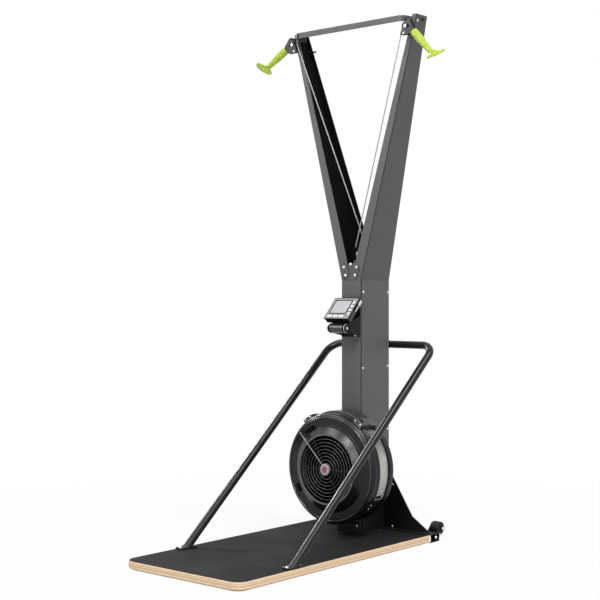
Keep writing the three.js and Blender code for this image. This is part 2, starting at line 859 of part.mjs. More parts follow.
// Guide pulleys on an axle that stands out of a plate on the mast's web

function buildGuides(parent) {
  const plateBack = webFront - seat;
  const plateFront = plateBack - guidePlateThickness;
  const plate = uprightPlate(outline([
    [-guidePlateHalfWidth, mastTop - guidePlateDrop], [guidePlateHalfWidth, mastTop - guidePlateDrop],
    [guidePlateHalfWidth, mastTop], [guidePlateCapRadius, guideZ + guidePlateCapRadius],
    [-guidePlateCapRadius, guideZ + guidePlateCapRadius], [-guidePlateHalfWidth, mastTop],
  ]), [plateFront, plateBack]);
  const halfLane = spoolWidth / 2 + seat;
  const axleFront = lanes.right - halfLane;
  const collarFront = lanes.left + halfLane;
  const axle = rodY(guideAxleRadius, [axleFront - guideAxleHeadLength, plateBack], 0, guideZ);
  const head = rodY(guideAxleHeadRadius, [axleFront - guideAxleHeadLength, axleFront], 0, guideZ);
  const collar = rodY(guideCollarRadius, [collarFront, plateFront + guidePlateThickness / 2], 0, guideZ);
  add(parent, 'guide_bracket', join(plate, axle, head, collar), 'steel');
  for (const side of Object.keys(sides)) {
    const profile = grooved(guideAxleRadius + runningGap, spoolCoreRadius, guideFlangeRadius, spoolWidth);
    const pulley = turned(profile, roundSides).translate(0, lanes[side], guideZ);
    add(parent, `guide_pulley_${side}`, pulley, 'blackPlastic');
  }
}

// Drive: one shaft through the fan and the mast, with a spool and a recoil cartridge a side

function buildDrive(parent) {
  const group = new THREE.Group();
  group.position.z = fanZ;
  parent.add(group);
  const shaftFront = mastFront - impellerStandoff - cordDiameter / 2;
  const shaft = rodY(shaftRadius, [shaftFront, shaftFront + shaftLength], 0, 0, roundSides);
  add(group, 'drive_shaft', shaft, 'steel');
  const bearingBore = shaftRadius + seat;
  const backPlateY = mastFront - drumBackStandoff + backDishDepth;
  const frontBearing = [backPlateY - bearingWidth, backPlateY];
  add(group, 'front_bearing', ring(bearingBore, bearingRadius, frontBearing, roundSides), 'steel');
  const rearBearing = [webFront - seat, webFront - seat + bearingWidth];
  add(group, 'rear_bearing', ring(bearingBore, bearingRadius, rearBearing, roundSides), 'steel');
  const cartridgeOffset = spoolWidth / 2 + laneGap / 2 + cartridgeWidth / 2;
  const tabReach = mastWidth / 2 - mastWall - seat;
  for (const [side, way] of Object.entries(sides)) {
    const laneY = lanes[side];
    const profile = grooved(shaftRadius + runningGap, spoolCoreRadius, spoolFlangeRadius, spoolWidth);
    const spool = turned(profile, roundSides);
    add(group, `cord_spool_${side}`, spool.translate(0, laneY, 0), 'greyPlastic');
    const centre = laneY - way * cartridgeOffset;
    const extent = [centre - cartridgeWidth / 2, centre + cartridgeWidth / 2];
    const tab = block(
      [-tabReach, tabReach], [centre - cartridgeTabWidth / 2, centre + cartridgeTabWidth / 2],
      [-cartridgeTabHeight / 2, cartridgeTabHeight / 2],
    );
    const drum = rodY(cartridgeRadius, extent, 0, 0, roundSides);
    const throughDrum = [extent[0] - cutOverrun, extent[1] + cutOverrun];
    const bore = rodY(shaftRadius + laneGap, throughDrum, 0, 0, roundSides);
    add(group, `recoil_cartridge_${side}`, cut(join(drum, tab), bore), 'blackPlastic');
  }
}

// Fan: front cover, grille, lever, badge, drum with mesh windows, rear cover and impeller

function wedge(radius, from, to, y, segments) {
  const [low, high] = [from, to].map(THREE.MathUtils.degToRad);
  const shape = new THREE.Shape();
  shape.absarc(0, 0, radius, low, high, false);
  shape.lineTo(0, 0);
  shape.closePath();
  return uprightPlate(shape, y, segments);
}

function buildFan(parent) {
  const group = new THREE.Group();
  group.position.z = fanZ;
  parent.add(group);
  const forward = (standoff) => mastFront - standoff;

  const faceY = forward(coverFaceStandoff);
  const backY = forward(drumFrontRibStandoff) + drumRibWidth / 2;
  const bevelOuterY = forward(bevelOuterStandoff);
  const bevelInnerY = forward(bevelInnerStandoff);
  add(group, 'fan_front_cover', turned([
    [bevelInnerRadius, bevelInnerY], [bevelOuterRadius, bevelOuterY], [dishRadius, faceY],
    [coverRadius - coverEdgeRadius, faceY], [coverRadius, faceY + coverEdgeRadius], [coverRadius, backY],
    [coverRadius - coverShell, backY], [coverRadius - coverShell, faceY + coverEdgeRadius + coverShell / 2],
    [coverRadius - coverEdgeRadius - coverShell / 2, faceY + coverShell],
    [dishRadius - coverShell / 2, faceY + coverShell],
    [bevelOuterRadius - coverShell, bevelOuterY + coverShell],
    [bevelInnerRadius + coverShell, bevelInnerY + bevelLip],
    [bevelInnerRadius, bevelInnerY + bevelLip], [bevelInnerRadius, bevelInnerY],
  ], fineSides), 'blackPlastic');

  const grilleFront = forward(grilleStandoff);
  const grilleBack = grilleFront + grilleDepth;
  const rimOuter = bevelInnerRadius - seat;
  const rimInner = rimOuter - grilleRimWidth;
  const grilleParts = [
    ring(rimInner, rimOuter, [grilleFront, grilleBack], fineSides),
    rodY(grilleHubRadius, [grilleFront, grilleBack], 0, 0, roundSides),
    rodY(bossRadius, [grilleFront - bossLength, grilleBack], 0, 0, smallSides),
  ];
  const ringPitch = (rimInner - grilleHubRadius) / (grilleRings + 1);
  for (let i = 1; i <= grilleRings; i += 1) {
    const middle = grilleHubRadius + i * ringPitch;
    const inset = grilleDepth / 4;
    grilleParts.push(ring(middle - grilleBarWidth / 2, middle + grilleBarWidth / 2,
      [grilleFront + inset, grilleBack - inset], roundSides));
  }
  for (let i = 0; i < grilleSpokes; i += 1) {
    const length = rimOuter - grilleRimWidth / 2;
    const spoke = block([0, length], [grilleFront, grilleBack], [-grilleBarWidth / 2, grilleBarWidth / 2]);
    grilleParts.push(spoke.rotateY((2 * Math.PI * i) / grilleSpokes));
  }
  add(group, 'fan_grille', join(...grilleParts), 'blackPlastic');

  const leverBack = grilleFront - seat;
  const leverFront = leverBack - leverThickness;
  const hub = ring(bossRadius + runningGap, leverHubRadius, [leverFront, leverBack], roundSides);
  const armStart = (bossRadius + leverHubRadius) / 2;
  const arm = block([armStart, leverReach], [leverFront, leverBack], [-leverWidth / 2, leverWidth / 2]);
  const tab = block([leverReach - leverTabThickness, leverReach], [leverFront, leverFront + leverTabLength],
    [-leverTabWidth / 2, leverTabWidth / 2]);
  const lever = join(hub, arm, tab).rotateY(THREE.MathUtils.degToRad(-leverAngle));
  add(group, 'damper_lever', lever, 'blackPlastic');

  const badgeBack = grilleFront - bossLength - seat;
  add(group, 'badge_cap', turned([
    [0, badgeBack - badgeThickness], [badgeRadius - badgeThickness / 2, badgeBack - badgeThickness],
    [badgeRadius, badgeBack - badgeThickness / 2], [badgeRadius, badgeBack], [0, badgeBack],
  ], roundSides), 'badge');

  const drumInner = drumRadius - drumWall;
  const drumFront = forward(drumFrontStandoff);
  const drumBack = forward(drumBackStandoff);
  const frontRib = forward(drumFrontRibStandoff);
  const drum = turned([
    [drumInner, drumFront], [drumRadius, drumFront], [drumRadius, frontRib], [drumRibRadius, frontRib],
    [drumRibRadius, frontRib + drumRibWidth], [drumRadius, frontRib + drumRibWidth],
    [drumRadius, drumBack - 2 * drumRibWidth], [drumRibRadius, drumBack - 2 * drumRibWidth],
    [drumRibRadius, drumBack], [drumInner, drumBack], [drumInner, drumFront],
  ], fineSides);
  const windowY = [frontRib + drumRibWidth + windowMargin, drumBack - 2 * drumRibWidth - windowMargin];
  const windowCut = wedge(
    drumRibRadius + cutOverrun, windowLowAngle, windowHighAngle, windowY, fineSides / 4,
  );
  const arc = (inner, outer, from, to, y) => cut(
    wedge(outer, from, to, y, fineSides / 4),
    rodY(inner, [y[0] - cutOverrun, y[1] + cutOverrun], 0, 0, fineSides),
  );
  const saddleRadius = coverRadius + saddleRise;
  const saddleY = [backY + seat, drumBack];
  const saddle = arc(drumInner, saddleRadius, saddleLowAngle, 180 - saddleLowAngle, saddleY);
  const latchY = [backY - latchReach, backY - latchReach + latchLength];
  const latch = arc(coverRadius + seat, coverRadius + latchRise, saddleLowAngle, latchHighAngle, latchY);
  const drumShell = cut(drum, windowCut, mirrored(windowCut));
  add(group, 'fan_drum', join(drumShell, saddle, latch, mirrored(latch)), 'blackPlastic');

  const meshOuter = drumRadius - seat;
  const bandGap = THREE.MathUtils.radToDeg(seat / drumInner);
  const low = THREE.MathUtils.degToRad(windowLowAngle + bandGap);
  const high = THREE.MathUtils.degToRad(windowHighAngle - bandGap);
  const band = new THREE.Shape();
  band.absarc(0, 0, meshOuter, low, high, false);
  band.absarc(0, 0, meshOuter - meshThickness, high, low, true);
  band.closePath();
  const bandSolid = uprightPlate(band, [windowY[0] + seat, windowY[1] - seat], fineSides / 4);
  addPair(group, 'mesh_band', bandSolid, 'meshMetal');

  const dishFront = drumBack + seat;
  const dishBack = drumBack + backDishDepth;
  const boreR = bearingRadius + seat;
  add(group, 'fan_rear_cover', turned([
    [boreR, mastFront - seat], [backBossRadius, mastFront - seat],
    [backBossRadius, dishBack], [drumRibRadius, dishBack],
    [drumRibRadius, dishFront], [drumRibRadius - backDishWall, dishFront],
    [drumRibRadius - backDishWall, dishBack - backDishWall], [backBossRadius, dishBack - backDishWall],
    [backBossRadius, dishFront], [boreR, dishFront], [boreR, mastFront - seat],
  ], fineSides), 'blackPlastic');

  const impellerFront = forward(impellerStandoff);
  const impellerBack = impellerFront + impellerDepth;
  const wheelParts = [
    rodY(impellerHubRadius, [impellerFront, impellerBack], 0, 0, roundSides),
    rodY(impellerRadius, [impellerBack - impellerPlate, impellerBack], 0, 0, fineSides),
  ];
  for (let i = 0; i < bladeCount; i += 1) {
    const blade = block(
      [impellerHubRadius / 2, impellerRadius - bladeInset], [impellerFront + bladeInset, impellerBack],
      [-bladeThickness / 2, bladeThickness / 2],
    );
    wheelParts.push(blade.rotateY((2 * Math.PI * i) / bladeCount));
  }
  const throughWheel = [impellerFront - cutOverrun, impellerBack + cutOverrun];
  const shaftBore = rodY(shaftRadius + seat, throughWheel, 0, 0, roundSides);
  add(group, 'impeller', cut(join(...wheelParts), shaftBore), 'blackPlastic');
}

// Mast foot: an angle on the deck that closes the mast's front below the fan

function buildMastFoot(parent) {
  const back = mastFront - seat;
  const front = back - footReach;
  const base = block([-footHalfWidth, footHalfWidth], [front, back], [deckTop, deckTop + footWall]);
  const wallSpan = [front, front + footWall];
  const wall = block([-footHalfWidth, footHalfWidth], wallSpan, [deckTop, deckTop + footHeight]);
  const inner = mastWidth / 2;
  const rib = block([inner - footWall, inner], [front, back], [deckTop, deckTop + footHeight]);
  add(parent, 'mast_foot', join(base, wall, rib, mirrored(rib)), 'blackSteel');
}

// Support tube: one bent tube with a foot plate under each leg, clamped behind the mast

function bendPoints(before, corner, after, radius) {
  const back = before.clone().sub(corner).normalize();
  const on = after.clone().sub(corner).normalize();
  const half = back.angleTo(on) / 2;
  const centre = back.clone().add(on).normalize().multiplyScalar(radius / Math.sin(half)).add(corner);
  const start = back.multiplyScalar(radius / Math.tan(half)).add(corner).sub(centre);
  const end = on.multiplyScalar(radius / Math.tan(half)).add(corner).sub(centre);
  const sweep = start.angleTo(end);
  const axis = start.clone().cross(end).normalize();
  const count = Math.ceil(sweep / THREE.MathUtils.degToRad(arcStep));
  const angles = Array.from({ length: count + 1 }, (_, i) => (sweep * i) / count);
  return angles.map((angle) => start.clone().applyAxisAngle(axis, angle).add(centre));
}

function buildSupport(parent) {
  const tubeY = mastBack + seat + tubeRadius;
  const tubeFootX = deckWidth / 2 - tubeFootInset;
  const tubeTopX = deckWidth / 2 - tubeTopInset;
  const tubeZ = mastTop - tubeTopDrop;
  const foot = (way) => new THREE.Vector3(way * tubeFootX, tubeFootY, deckTop);
  const corner = (way) => new THREE.Vector3(way * tubeTopX, tubeY, tubeZ);
  const bend = bendPoints(foot(1), corner(1), corner(-1), tubeBendRadius);
  const otherBend = bend.map((p) => new THREE.Vector3(-p.x, p.y, p.z)).reverse();
  const bent = tube([foot(1), ...bend, ...otherBend, foot(-1)], tubeRadius, tubeSides);
  const footTop = deckTop + footPlateThickness;
  const footMiddle = footTop - footPlateThickness / 2;
  const below = block([-deckWidth, deckWidth], [-deckWidth, deckWidth], [-deckWidth, footMiddle]);
  const plate = block([tubeFootX - footPlateWidth / 2, tubeFootX + footPlateWidth / 2],
    [tubeFootY - footPlateLength / 2, tubeFootY + footPlateLength / 2], [deckTop, footTop]);
  add(parent, 'support_tube', join(cut(bent, below), plate, mirrored(plate)), 'blackSteel');

  const bore = tubeRadius + seat;
  const outer = bore + clampWall;
  const half = clampWidth / 2;
  const saddle = rodX(outer, [-half, half], tubeY, tubeZ, roundSides);
  const flange = block([-half, half], [mastBack + seat, mastBack + seat + clampWall],
    [tubeZ - outer - clampFlange, tubeZ + outer + clampFlange]);
  const saddleSpan = [tubeZ - outer, tubeZ + outer];
  const mastSide = block([-deckWidth, deckWidth], [mastFront, mastBack + seat], saddleSpan);
  const way = rodX(bore, [-half - cutOverrun, half + cutOverrun], tubeY, tubeZ, roundSides);
  add(parent, 'tube_clamp', cut(join(saddle, flange), way, mastSide), 'blackSteel');
}

// Transport wheels: a grooved roller in a two-eared bracket on the rail's back

function buildWheels(parent) {
  const half = wheelWidth / 2;
  const plateFront = railBack + seat;
  const plateBack = plateFront + bracketPlateThickness;
  const inner = wheelX - half - seat;
  const outer = wheelX + half + seat;
  const earEnds = [inner - earThickness, outer + earThickness];
  const plate = block(earEnds, [plateFront, plateBack], [bracketFoot, deckTop]);
  const ear = (x) => sidePlate(outline([
    [plateFront, bracketFoot], [wheelY + earRadius, wheelRise - earRadius],
    [wheelY + earRadius, wheelRise + earRadius],
    [wheelY - earRadius, wheelRise + earRadius], [plateFront, deckTop],
  ], [0, earRadius / 2, earRadius / 2, earRadius / 2, 0]), x);
  const capEnd = earEnds[1] + hubCapLength;
  const axle = rodX(wheelAxleRadius, [earEnds[0], capEnd], wheelY, wheelRise);
  const cap = rodX(hubCapRadius, [earEnds[1], capEnd], wheelY, wheelRise);
  const bracket = join(plate, ear([earEnds[0], inner]), ear([outer, earEnds[1]]), axle, cap);
  addPair(parent, 'wheel_bracket', bracket, 'blackSteel');

  const bore = wheelAxleRadius + runningGap;
  const bevel = 3 * wheelGrooveDepth;
  const groove = wheelRadius - wheelGrooveDepth;
  const grooveHalf = wheelGrooveDepth;
  const wheel = turned([
    [bore, -half], [wheelRadius - bevel, -half], [wheelRadius, -half + bevel],
    [wheelRadius, -grooveHalf], [groove, -grooveHalf / 2], [groove, grooveHalf / 2],
    [wheelRadius, grooveHalf], [wheelRadius, half - bevel], [wheelRadius - bevel, half],
    [bore, half], [bore, -half],
  ], roundSides).rotateZ(Math.PI / 2);
  addPair(parent, 'transport_wheel', wheel.translate(wheelX, wheelY, wheelRise), 'rubber');
}

// Monitor: a bracket on the mast carries a barrel, and the case tilts with the barrel

function buildMonitor(parent) {
  const barrelY = mastFront - barrelStandoff;
  const barrelZ = mastTop - barrelDrop;
  const backPlate = [mastFront - seat - bracketBackThickness, mastFront - seat];
  const cheekShape = outline([
    [backPlate[1], barrelZ - cheekLow], [backPlate[1], barrelZ + cheekHigh],
    [barrelY, barrelZ + cheekRadius], [barrelY - cheekRadius, barrelZ + cheekRadius / 2],
    [barrelY - cheekRadius, barrelZ - cheekRadius / 2], [barrelY, barrelZ - cheekRadius],
  ]);
  const cheekRight = barrelRightReach + seat;
  const cheekLeft = barrelLeftReach + seat;
  const edgeX = cheekRight + cheekThickness;
  const capEnd = edgeX + endCapLength;
  const cap = ring(endCapRadius - cheekThickness, endCapRadius, [cheekRight, capEnd], smallSides)
    .rotateZ(-Math.PI / 2).translate(0, barrelY, barrelZ);
  add(parent, 'monitor_bracket', join(
    block([-edgeX, edgeX], backPlate, [barrelZ - bracketBackLow, barrelZ + bracketBackHigh]),
    sidePlate(cheekShape, [cheekRight, edgeX]),
    sidePlate(cheekShape, [-cheekLeft - cheekThickness, -cheekLeft]),
    rodX(barrelAxleRadius, [-cheekLeft - cheekThickness - seat, capEnd], barrelY, barrelZ),
    cap,
  ), 'blackSteel');

  const group = new THREE.Group();
  group.position.set(0, barrelY, barrelZ);
  group.rotation.x = -THREE.MathUtils.degToRad(monitorTilt);
  parent.add(group);
  const faceY = -monitorFaceOut;
  const caseBack = faceY + monitorDepth;
  const half = monitorWidth / 2;
  const top = monitorFoot + monitorHeight;

  const barrelSpan = [-barrelLeftReach, barrelRightReach];
  const barrel = ring(barrelAxleRadius + runningGap, barrelRadius, barrelSpan, roundSides)
    .rotateZ(-Math.PI / 2);
  const neckFootShare = 0.75;
  const neckFoot = neckFootShare * barrelRadius;
  const neck = block([-neckHalfWidth, neckHalfWidth], [caseBack + seat, caseBack + seat + neckThickness],
    [neckFoot, neckFoot + neckHeight]);
  add(group, 'tilt_barrel', join(barrel, neck), 'blackPlastic');

  const screenX = [-half + screenLeft, -half + screenLeft + screenWidth];
  const screenZ = [monitorFoot + screenLow, monitorFoot + screenLow + screenHeight];
  const keys = [];
  const keyX = -half + screenLeft / 2 + keyWidth / 2;
  const keyZ = monitorFoot + keyLow + keyHeight / 2;
  for (let i = 0; i < keyCount; i += 1) {
    keys.push({ x: keyX + i * keyPitch, z: keyZ, w: keyWidth, h: keyHeight });
  }
  const sideKeyX = half - sideKeyInset - sideKeyWidth / 2;
  const sideKeyZ = monitorFoot + sideKeyLow + sideKeyHeight / 2;
  for (let i = 0; i < sideKeyCount; i += 1) {
    keys.push({ x: sideKeyX, z: sideKeyZ + i * sideKeyPitch, w: sideKeyWidth, h: sideKeyHeight });
  }
  const keyBack = faceY - keyProud + keyDepth;
  const around = (centre, size) => [centre - size / 2 - seat, centre + size / 2 + seat];
  const pocketSpan = [faceY - cutOverrun, keyBack + keyTravel + seat];
  const pockets = keys.map((k) => block(around(k.x, k.w), pocketSpan, around(k.z, k.h)));
  const recess = block(
    [screenX[0] - seat, screenX[1] + seat], [faceY - cutOverrun, faceY + screenRecess + seat],
    [screenZ[0] - seat, screenZ[1] + seat],
  );
  const corners = [[-half, monitorFoot], [half, monitorFoot], [half, top], [-half, top]];
  const body = uprightPlate(outline(corners, monitorFillet), [faceY, caseBack]);
  add(group, 'monitor_case', cut(body, recess, ...pockets), 'blackPlastic');
  const screenSpan = [faceY + screenRecess - screenThickness, faceY + screenRecess];
  add(group, 'monitor_screen', block(screenX, screenSpan, screenZ), 'screen');
  keys.forEach((k, i) => {
    const keyCap = uprightPlate(outline([
      [k.x - k.w / 2, k.z - k.h / 2], [k.x + k.w / 2, k.z - k.h / 2],
      [k.x + k.w / 2, k.z + k.h / 2], [k.x - k.w / 2, k.z + k.h / 2],
    ], keyTravel), [faceY - keyProud, keyBack], 2);
    add(group, `monitor_key_${i + 1}`, keyCap, 'key');
  });
}

const machine = new THREE.Group();
machine.name = 'ski_trainer';
machine.position.y = -overallDepth / 2;
buildDeck(machine);
buildGussets(machine);
buildMast(machine);
buildArms(machine);
buildCrossbar(machine);
buildBlocks(machine);
buildHandles(machine);
buildCords(machine);
buildGuides(machine);
buildDrive(machine);
buildFan(machine);
buildMastFoot(machine);
buildSupport(machine);
buildWheels(machine);
buildMonitor(machine);

export default machine;
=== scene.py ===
"""Looks of the ski trainer: each class builds and dresses one sub-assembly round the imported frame.

Lengths are metres. +X is the user's right, +Y runs from the user to the mast, +Z is up.
"""

import functools
import logging
import math
from collections.abc import Callable, Iterable, Sequence
from dataclasses import dataclass
from enum import Enum

import bmesh
import bpy
from mathutils import Matrix, Vector


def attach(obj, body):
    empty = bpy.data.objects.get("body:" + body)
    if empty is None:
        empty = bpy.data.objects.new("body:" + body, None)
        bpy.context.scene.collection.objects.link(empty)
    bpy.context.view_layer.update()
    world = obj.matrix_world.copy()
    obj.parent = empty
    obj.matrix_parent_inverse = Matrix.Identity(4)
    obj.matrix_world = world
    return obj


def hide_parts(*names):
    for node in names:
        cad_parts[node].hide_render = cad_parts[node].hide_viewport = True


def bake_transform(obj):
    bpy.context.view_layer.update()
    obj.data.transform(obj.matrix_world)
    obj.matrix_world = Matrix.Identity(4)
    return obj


Pair = tuple[float, float]
Triple = tuple[float, float, float]
FaceTest = Callable[[Vector, Vector], bool]
Socket = bpy.types.NodeSocket
Vert = bmesh.types.BMVert

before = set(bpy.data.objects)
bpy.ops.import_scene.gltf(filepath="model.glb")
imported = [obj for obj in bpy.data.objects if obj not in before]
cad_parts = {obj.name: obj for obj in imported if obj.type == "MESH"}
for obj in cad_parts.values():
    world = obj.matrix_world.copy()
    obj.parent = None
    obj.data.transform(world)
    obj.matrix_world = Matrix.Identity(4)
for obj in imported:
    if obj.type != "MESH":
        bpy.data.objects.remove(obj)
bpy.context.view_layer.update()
log = logging.getLogger("ski_trainer")

TURN = 2 * math.pi
SHARP_EDGE = 38.0
WELD_GAP = 2e-6
FLAT_ANGLE = 0.6
SIDES = {"right": 1, "left": -1}
WHITE = (1.0, 1.0, 1.0, 1.0)
ALONG_X = Vector((1, 0, 0))
ALONG_Y = Vector((0, 1, 0))
ALONG_Z = Vector((0, 0, 1))


def tone(red: int, green: int, blue: int) -> Triple:
    """Turn a colour as read from a picture into the linear colour of a shader.

    Args:
        red: Red, 0 to 255.
        green: Green, 0 to 255.
        blue: Blue, 0 to 255.

    Returns:
        The linear red, green and blue, 0 to 1.
    """
    def linear(value: int) -> float:
        """Undo the screen's curve for one channel."""
        share = value / 255
        return share / 12.92 if share <= 0.04045 else ((share + 0.055) / 1.055) ** 2.4

    return linear(red), linear(green), linear(blue)


def add_node(tree: bpy.types.NodeTree, kind: str, inputs: dict | None = None,
             **settings: object) -> bpy.types.Node:
    """Add a shader node, set its options, and link or set its inputs.

    Args:
        tree: The nodes to write in.
        kind: The node's Blender type without its first two words.
        inputs: Values or sockets by input name or number.
        **settings: The node's own options.

    Returns:
        The node.
    """
    node = tree.nodes.new("ShaderNode" + kind)
    for key, value in settings.items():
        setattr(node, key, value)
    for key, value in (inputs or {}).items():
        if isinstance(value, Socket):
            tree.links.new(value, node.inputs[key])
        else:
            node.inputs[key].default_value = value
    return node


def placed(name: str, data: bpy.types.ID) -> bpy.types.Object:
    """Put a mesh, a light or a camera in the scene.

    Args:
        name: The object's name.
        data: What it shows.

    Returns:
        The object.
    """
    made = bpy.data.objects.new(name, data)
    bpy.context.scene.collection.objects.link(made)
    return made


def rectangle(low: Pair, high: Pair) -> list[Pair]:
    """The corners of a rectangle between two of them."""
    return [(low[0], low[1]), (high[0], low[1]), (high[0], high[1]), (low[0], high[1])]


def both_ways(side: Sequence[Pair]) -> list[Pair]:
    """A wheel's profile from its half on the far side, drawn from the bore to the middle."""
    return [(radius, -along) for radius, along in side] + list(side[::-1])


def wire(radius: float, along: float, half: float, sides: int) -> list[Pair]:
    """The profile of a round wire that is bent to a ring."""
    turns = (TURN * side / sides for side in range(sides))
    return [(radius + half * math.cos(turn), along + half * math.sin(turn)) for turn in turns]


class Plane(Enum):
    """The two axes that an outline is drawn on, and the third, along which it is thick."""

    TOP = (0, 1, 2)
    FRONT = (0, 2, 1)
    SIDE = (1, 2, 0)

    def point(self, across: float, up: float, depth: float) -> Vector:
        """Place a point of an outline at a depth.

        Args:
            across: Distance along the plane's first axis.
            up: Distance along the plane's second axis.
            depth: Distance along the third axis.

        Returns:
            The point in the row's frame.
        """
        place = [0.0, 0.0, 0.0]
        for axis, value in zip(self.value, (across, up, depth)):
            place[axis] = value
        return Vector(place)


class NodeDesk:
    """Writes the nodes of one finish. Patterns are laid out in the piece's own metres."""

    def __init__(self, name: str) -> None:
        """Start a material with a bare shader.

        Args:
            name: The material's name.
        """
        self.material = bpy.data.materials.new(name)
        self.material.use_nodes = True
        self.tree = self.material.node_tree
        self.tree.nodes.clear()
        self.shader = self.add("BsdfPrincipled")
        self.add("OutputMaterial", {"Surface": self.shader.outputs["BSDF"]})
        coordinates = self.add("TexCoord")
        self.metres = coordinates.outputs["Object"]
        self.unrolled = coordinates.outputs["UV"]
        self.normal: Socket | None = None

    def add(self, kind: str, inputs: dict | None = None, **settings: object) -> bpy.types.Node:
        """Add a node to the finish."""
        return add_node(self.tree, kind, inputs, **settings)

    def stretched(self, scale: Triple) -> Socket:
        """The piece's metres stretched by a scale on each axis."""
        return self.add("Mapping", {"Vector": self.metres, "Scale": scale}).outputs[0]

    def cloud(self, scale: float, detail: float = 3.0, at: Socket | None = None) -> Socket:
        """Soft noise, with about this many lumps a metre."""
        inputs = {"Vector": at or self.metres, "Scale": scale, "Detail": detail, "Roughness": 0.55}
        return self.add("TexNoise", inputs).outputs[0]

    def cells(self, scale: float, scatter: float = 1.0, at: Socket | None = None) -> Socket:
        """Distance to the middle of the nearest cell."""
        inputs = {"Vector": at or self.metres, "Scale": scale, "Randomness": scatter}
        return self.add("TexVoronoi", inputs).outputs["Distance"]

    def math(self, operation: str, first: object, second: object = 0.5) -> Socket:
        """One step of arithmetic on a pattern."""
        return self.add("Math", {0: first, 1: second}, operation=operation).outputs[0]

    def axis(self, index: int, source: Socket | None = None) -> Socket:
        """One coordinate of the point being shaded."""
        return self.add("SeparateXYZ", {0: source or self.metres}).outputs[index]

    def span(self, value: Socket, low: float, high: float, start: float = 0.0,
             end: float = 1.0) -> Socket:
        """A pattern's values from low to high moved to the values from start to end."""
        inputs = {0: value, 1: low, 2: high, 3: start, 4: end}
        return self.add("MapRange", inputs).outputs[0]

    def steps(self, value: Socket, stops: Sequence[tuple[float, Triple]],
              hard: bool = False) -> Socket:
        """Colours by the value of a pattern.

        Args:
            value: The pattern.
            stops: Place and colour of each step.
            hard: Whether the colours change without a blend.

        Returns:
            The colour's socket.
        """
        node = self.add("ValToRGB", {0: value})
        ramp = node.color_ramp
        ramp.interpolation = "CONSTANT" if hard else "LINEAR"
        while len(ramp.elements) < len(stops):
            ramp.elements.new(1.0)
        for element, (place, colour) in zip(ramp.elements, stops):
            element.position = place
            element.color = (*colour, 1.0)
        return node.outputs[0]

    def mixed(self, share: Socket, first: object, second: object, way: str = "MIX") -> Socket:
        """Two colours mixed by a pattern.

        Args:
            share: How much of the second colour shows.
            first: A colour or a colour's socket.
            second: A colour or a colour's socket.
            way: The mixing mode.

        Returns:
            The colour's socket.
        """
        inputs = {0: share}
        for index, value in ((6, first), (7, second)):
            inputs[index] = value if isinstance(value, Socket) else (*value, 1.0)
        return self.add("Mix", inputs, data_type="RGBA", blend_type=way).outputs[2]

    def edges(self, low: float, high: float) -> Socket:
        """Where the surface is a raised edge, 0 on flat ground and 1 on the edge."""
        point = self.add("NewGeometry", {}).outputs["Pointiness"]
        return self.span(point, low, high)

    def relief(self, height: Socket, depth: float, strength: float = 1.0) -> None:
        """Raise the surface by a pattern.

        Args:
            height: The pattern, 0 to 1.
            depth: How high 1 stands, in metres.
            strength: How much of it shows.
        """
        inputs = {"Height": height, "Distance": depth, "Strength": strength}
        if self.normal is not None:
            inputs["Normal"] = self.normal
        self.normal = self.add("Bump", inputs).outputs[0]

    def shade(self, **inputs: float | Socket) -> bpy.types.Material:
        """Give the shader its inputs, with the relief made so far.

        Args:
            **inputs: Values or sockets by input name, with underscores for blanks.

        Returns:
            The finished material.
        """
        for key, value in inputs.items():
            socket = self.shader.inputs[key.replace("_", " ")]
            if isinstance(value, Socket):
                self.tree.links.new(value, socket)
            else:
                socket.default_value = value
        if self.normal is not None:
            self.tree.links.new(self.normal, self.shader.inputs["Normal"])
        return self.material


@dataclass(frozen=True)
class Finish:
    """What each finish has: a name, the record's slot that it stands for, a colour and a gloss."""

    name: str
    slot: str
    colour: Triple
    roughness: float

    def tint(self, share: float) -> Triple:
        """The finish's colour made darker or lighter by a share."""
        return tuple(min(1.0, channel * share) for channel in self.colour)

    def make(self) -> bpy.types.Material:
        """Write the material."""
        raise NotImplementedError


@dataclass(frozen=True)
class PowderCoat(Finish):
    """Baked powder paint on steel: a fine orange peel, faint mottling and paler edges, partly wear
    and partly painted highlight.
    """

    peel: float = 0.00022
    edge_wear_and_highlight: float = 1.5
    shine: float = 0.3

    def make(self) -> bpy.types.Material:
        """Write the material."""
        desk = NodeDesk(self.name)
        mottle = desk.cloud(5.0, 4.0)
        speck = desk.cloud(900.0, 1.0)
        colour = desk.mixed(mottle, self.tint(0.93), self.tint(1.08))
        colour = desk.mixed(desk.span(speck, 0.6, 0.75, 0.0, 0.35), colour, self.tint(1.45))
        # Paler edges: partly wear, partly painted highlight.
        colour = desk.mixed(desk.edges(0.515, 0.58), colour, self.tint(self.edge_wear_and_highlight))
        desk.relief(desk.cloud(520.0, 2.0), self.peel, 0.6)
        gloss = desk.span(desk.cloud(12.0, 5.0), 0.3, 0.7, self.roughness - 0.05,
                          self.roughness + 0.07)
        return desk.shade(Base_Color=colour, Roughness=gloss, Specular_IOR_Level=self.shine)


@dataclass(frozen=True)
class GlossPaint(Finish):
    """Smooth black paint on a bent tube, with a light dusting and hairline scuffs."""

    def make(self) -> bpy.types.Material:
        """Write the material."""
        desk = NodeDesk(self.name)
        dust = desk.span(desk.cloud(9.0, 6.0), 0.45, 0.75)
        scuff = desk.span(desk.cloud(60.0, 4.0, desk.stretched((1.0, 0.12, 0.12))), 0.62, 0.7)
        colour = desk.mixed(dust, self.colour, self.tint(1.7))
        colour = desk.mixed(desk.math("MULTIPLY", scuff, 0.4), colour, self.tint(3.0))
        desk.relief(desk.cloud(260.0, 2.0), 0.00012, 0.4)
        gloss = desk.span(desk.math("MAXIMUM", dust, scuff), 0.0, 1.0, self.roughness,
                          self.roughness + 0.14)
        return desk.shade(Base_Color=colour, Roughness=gloss, Specular_IOR_Level=0.3)


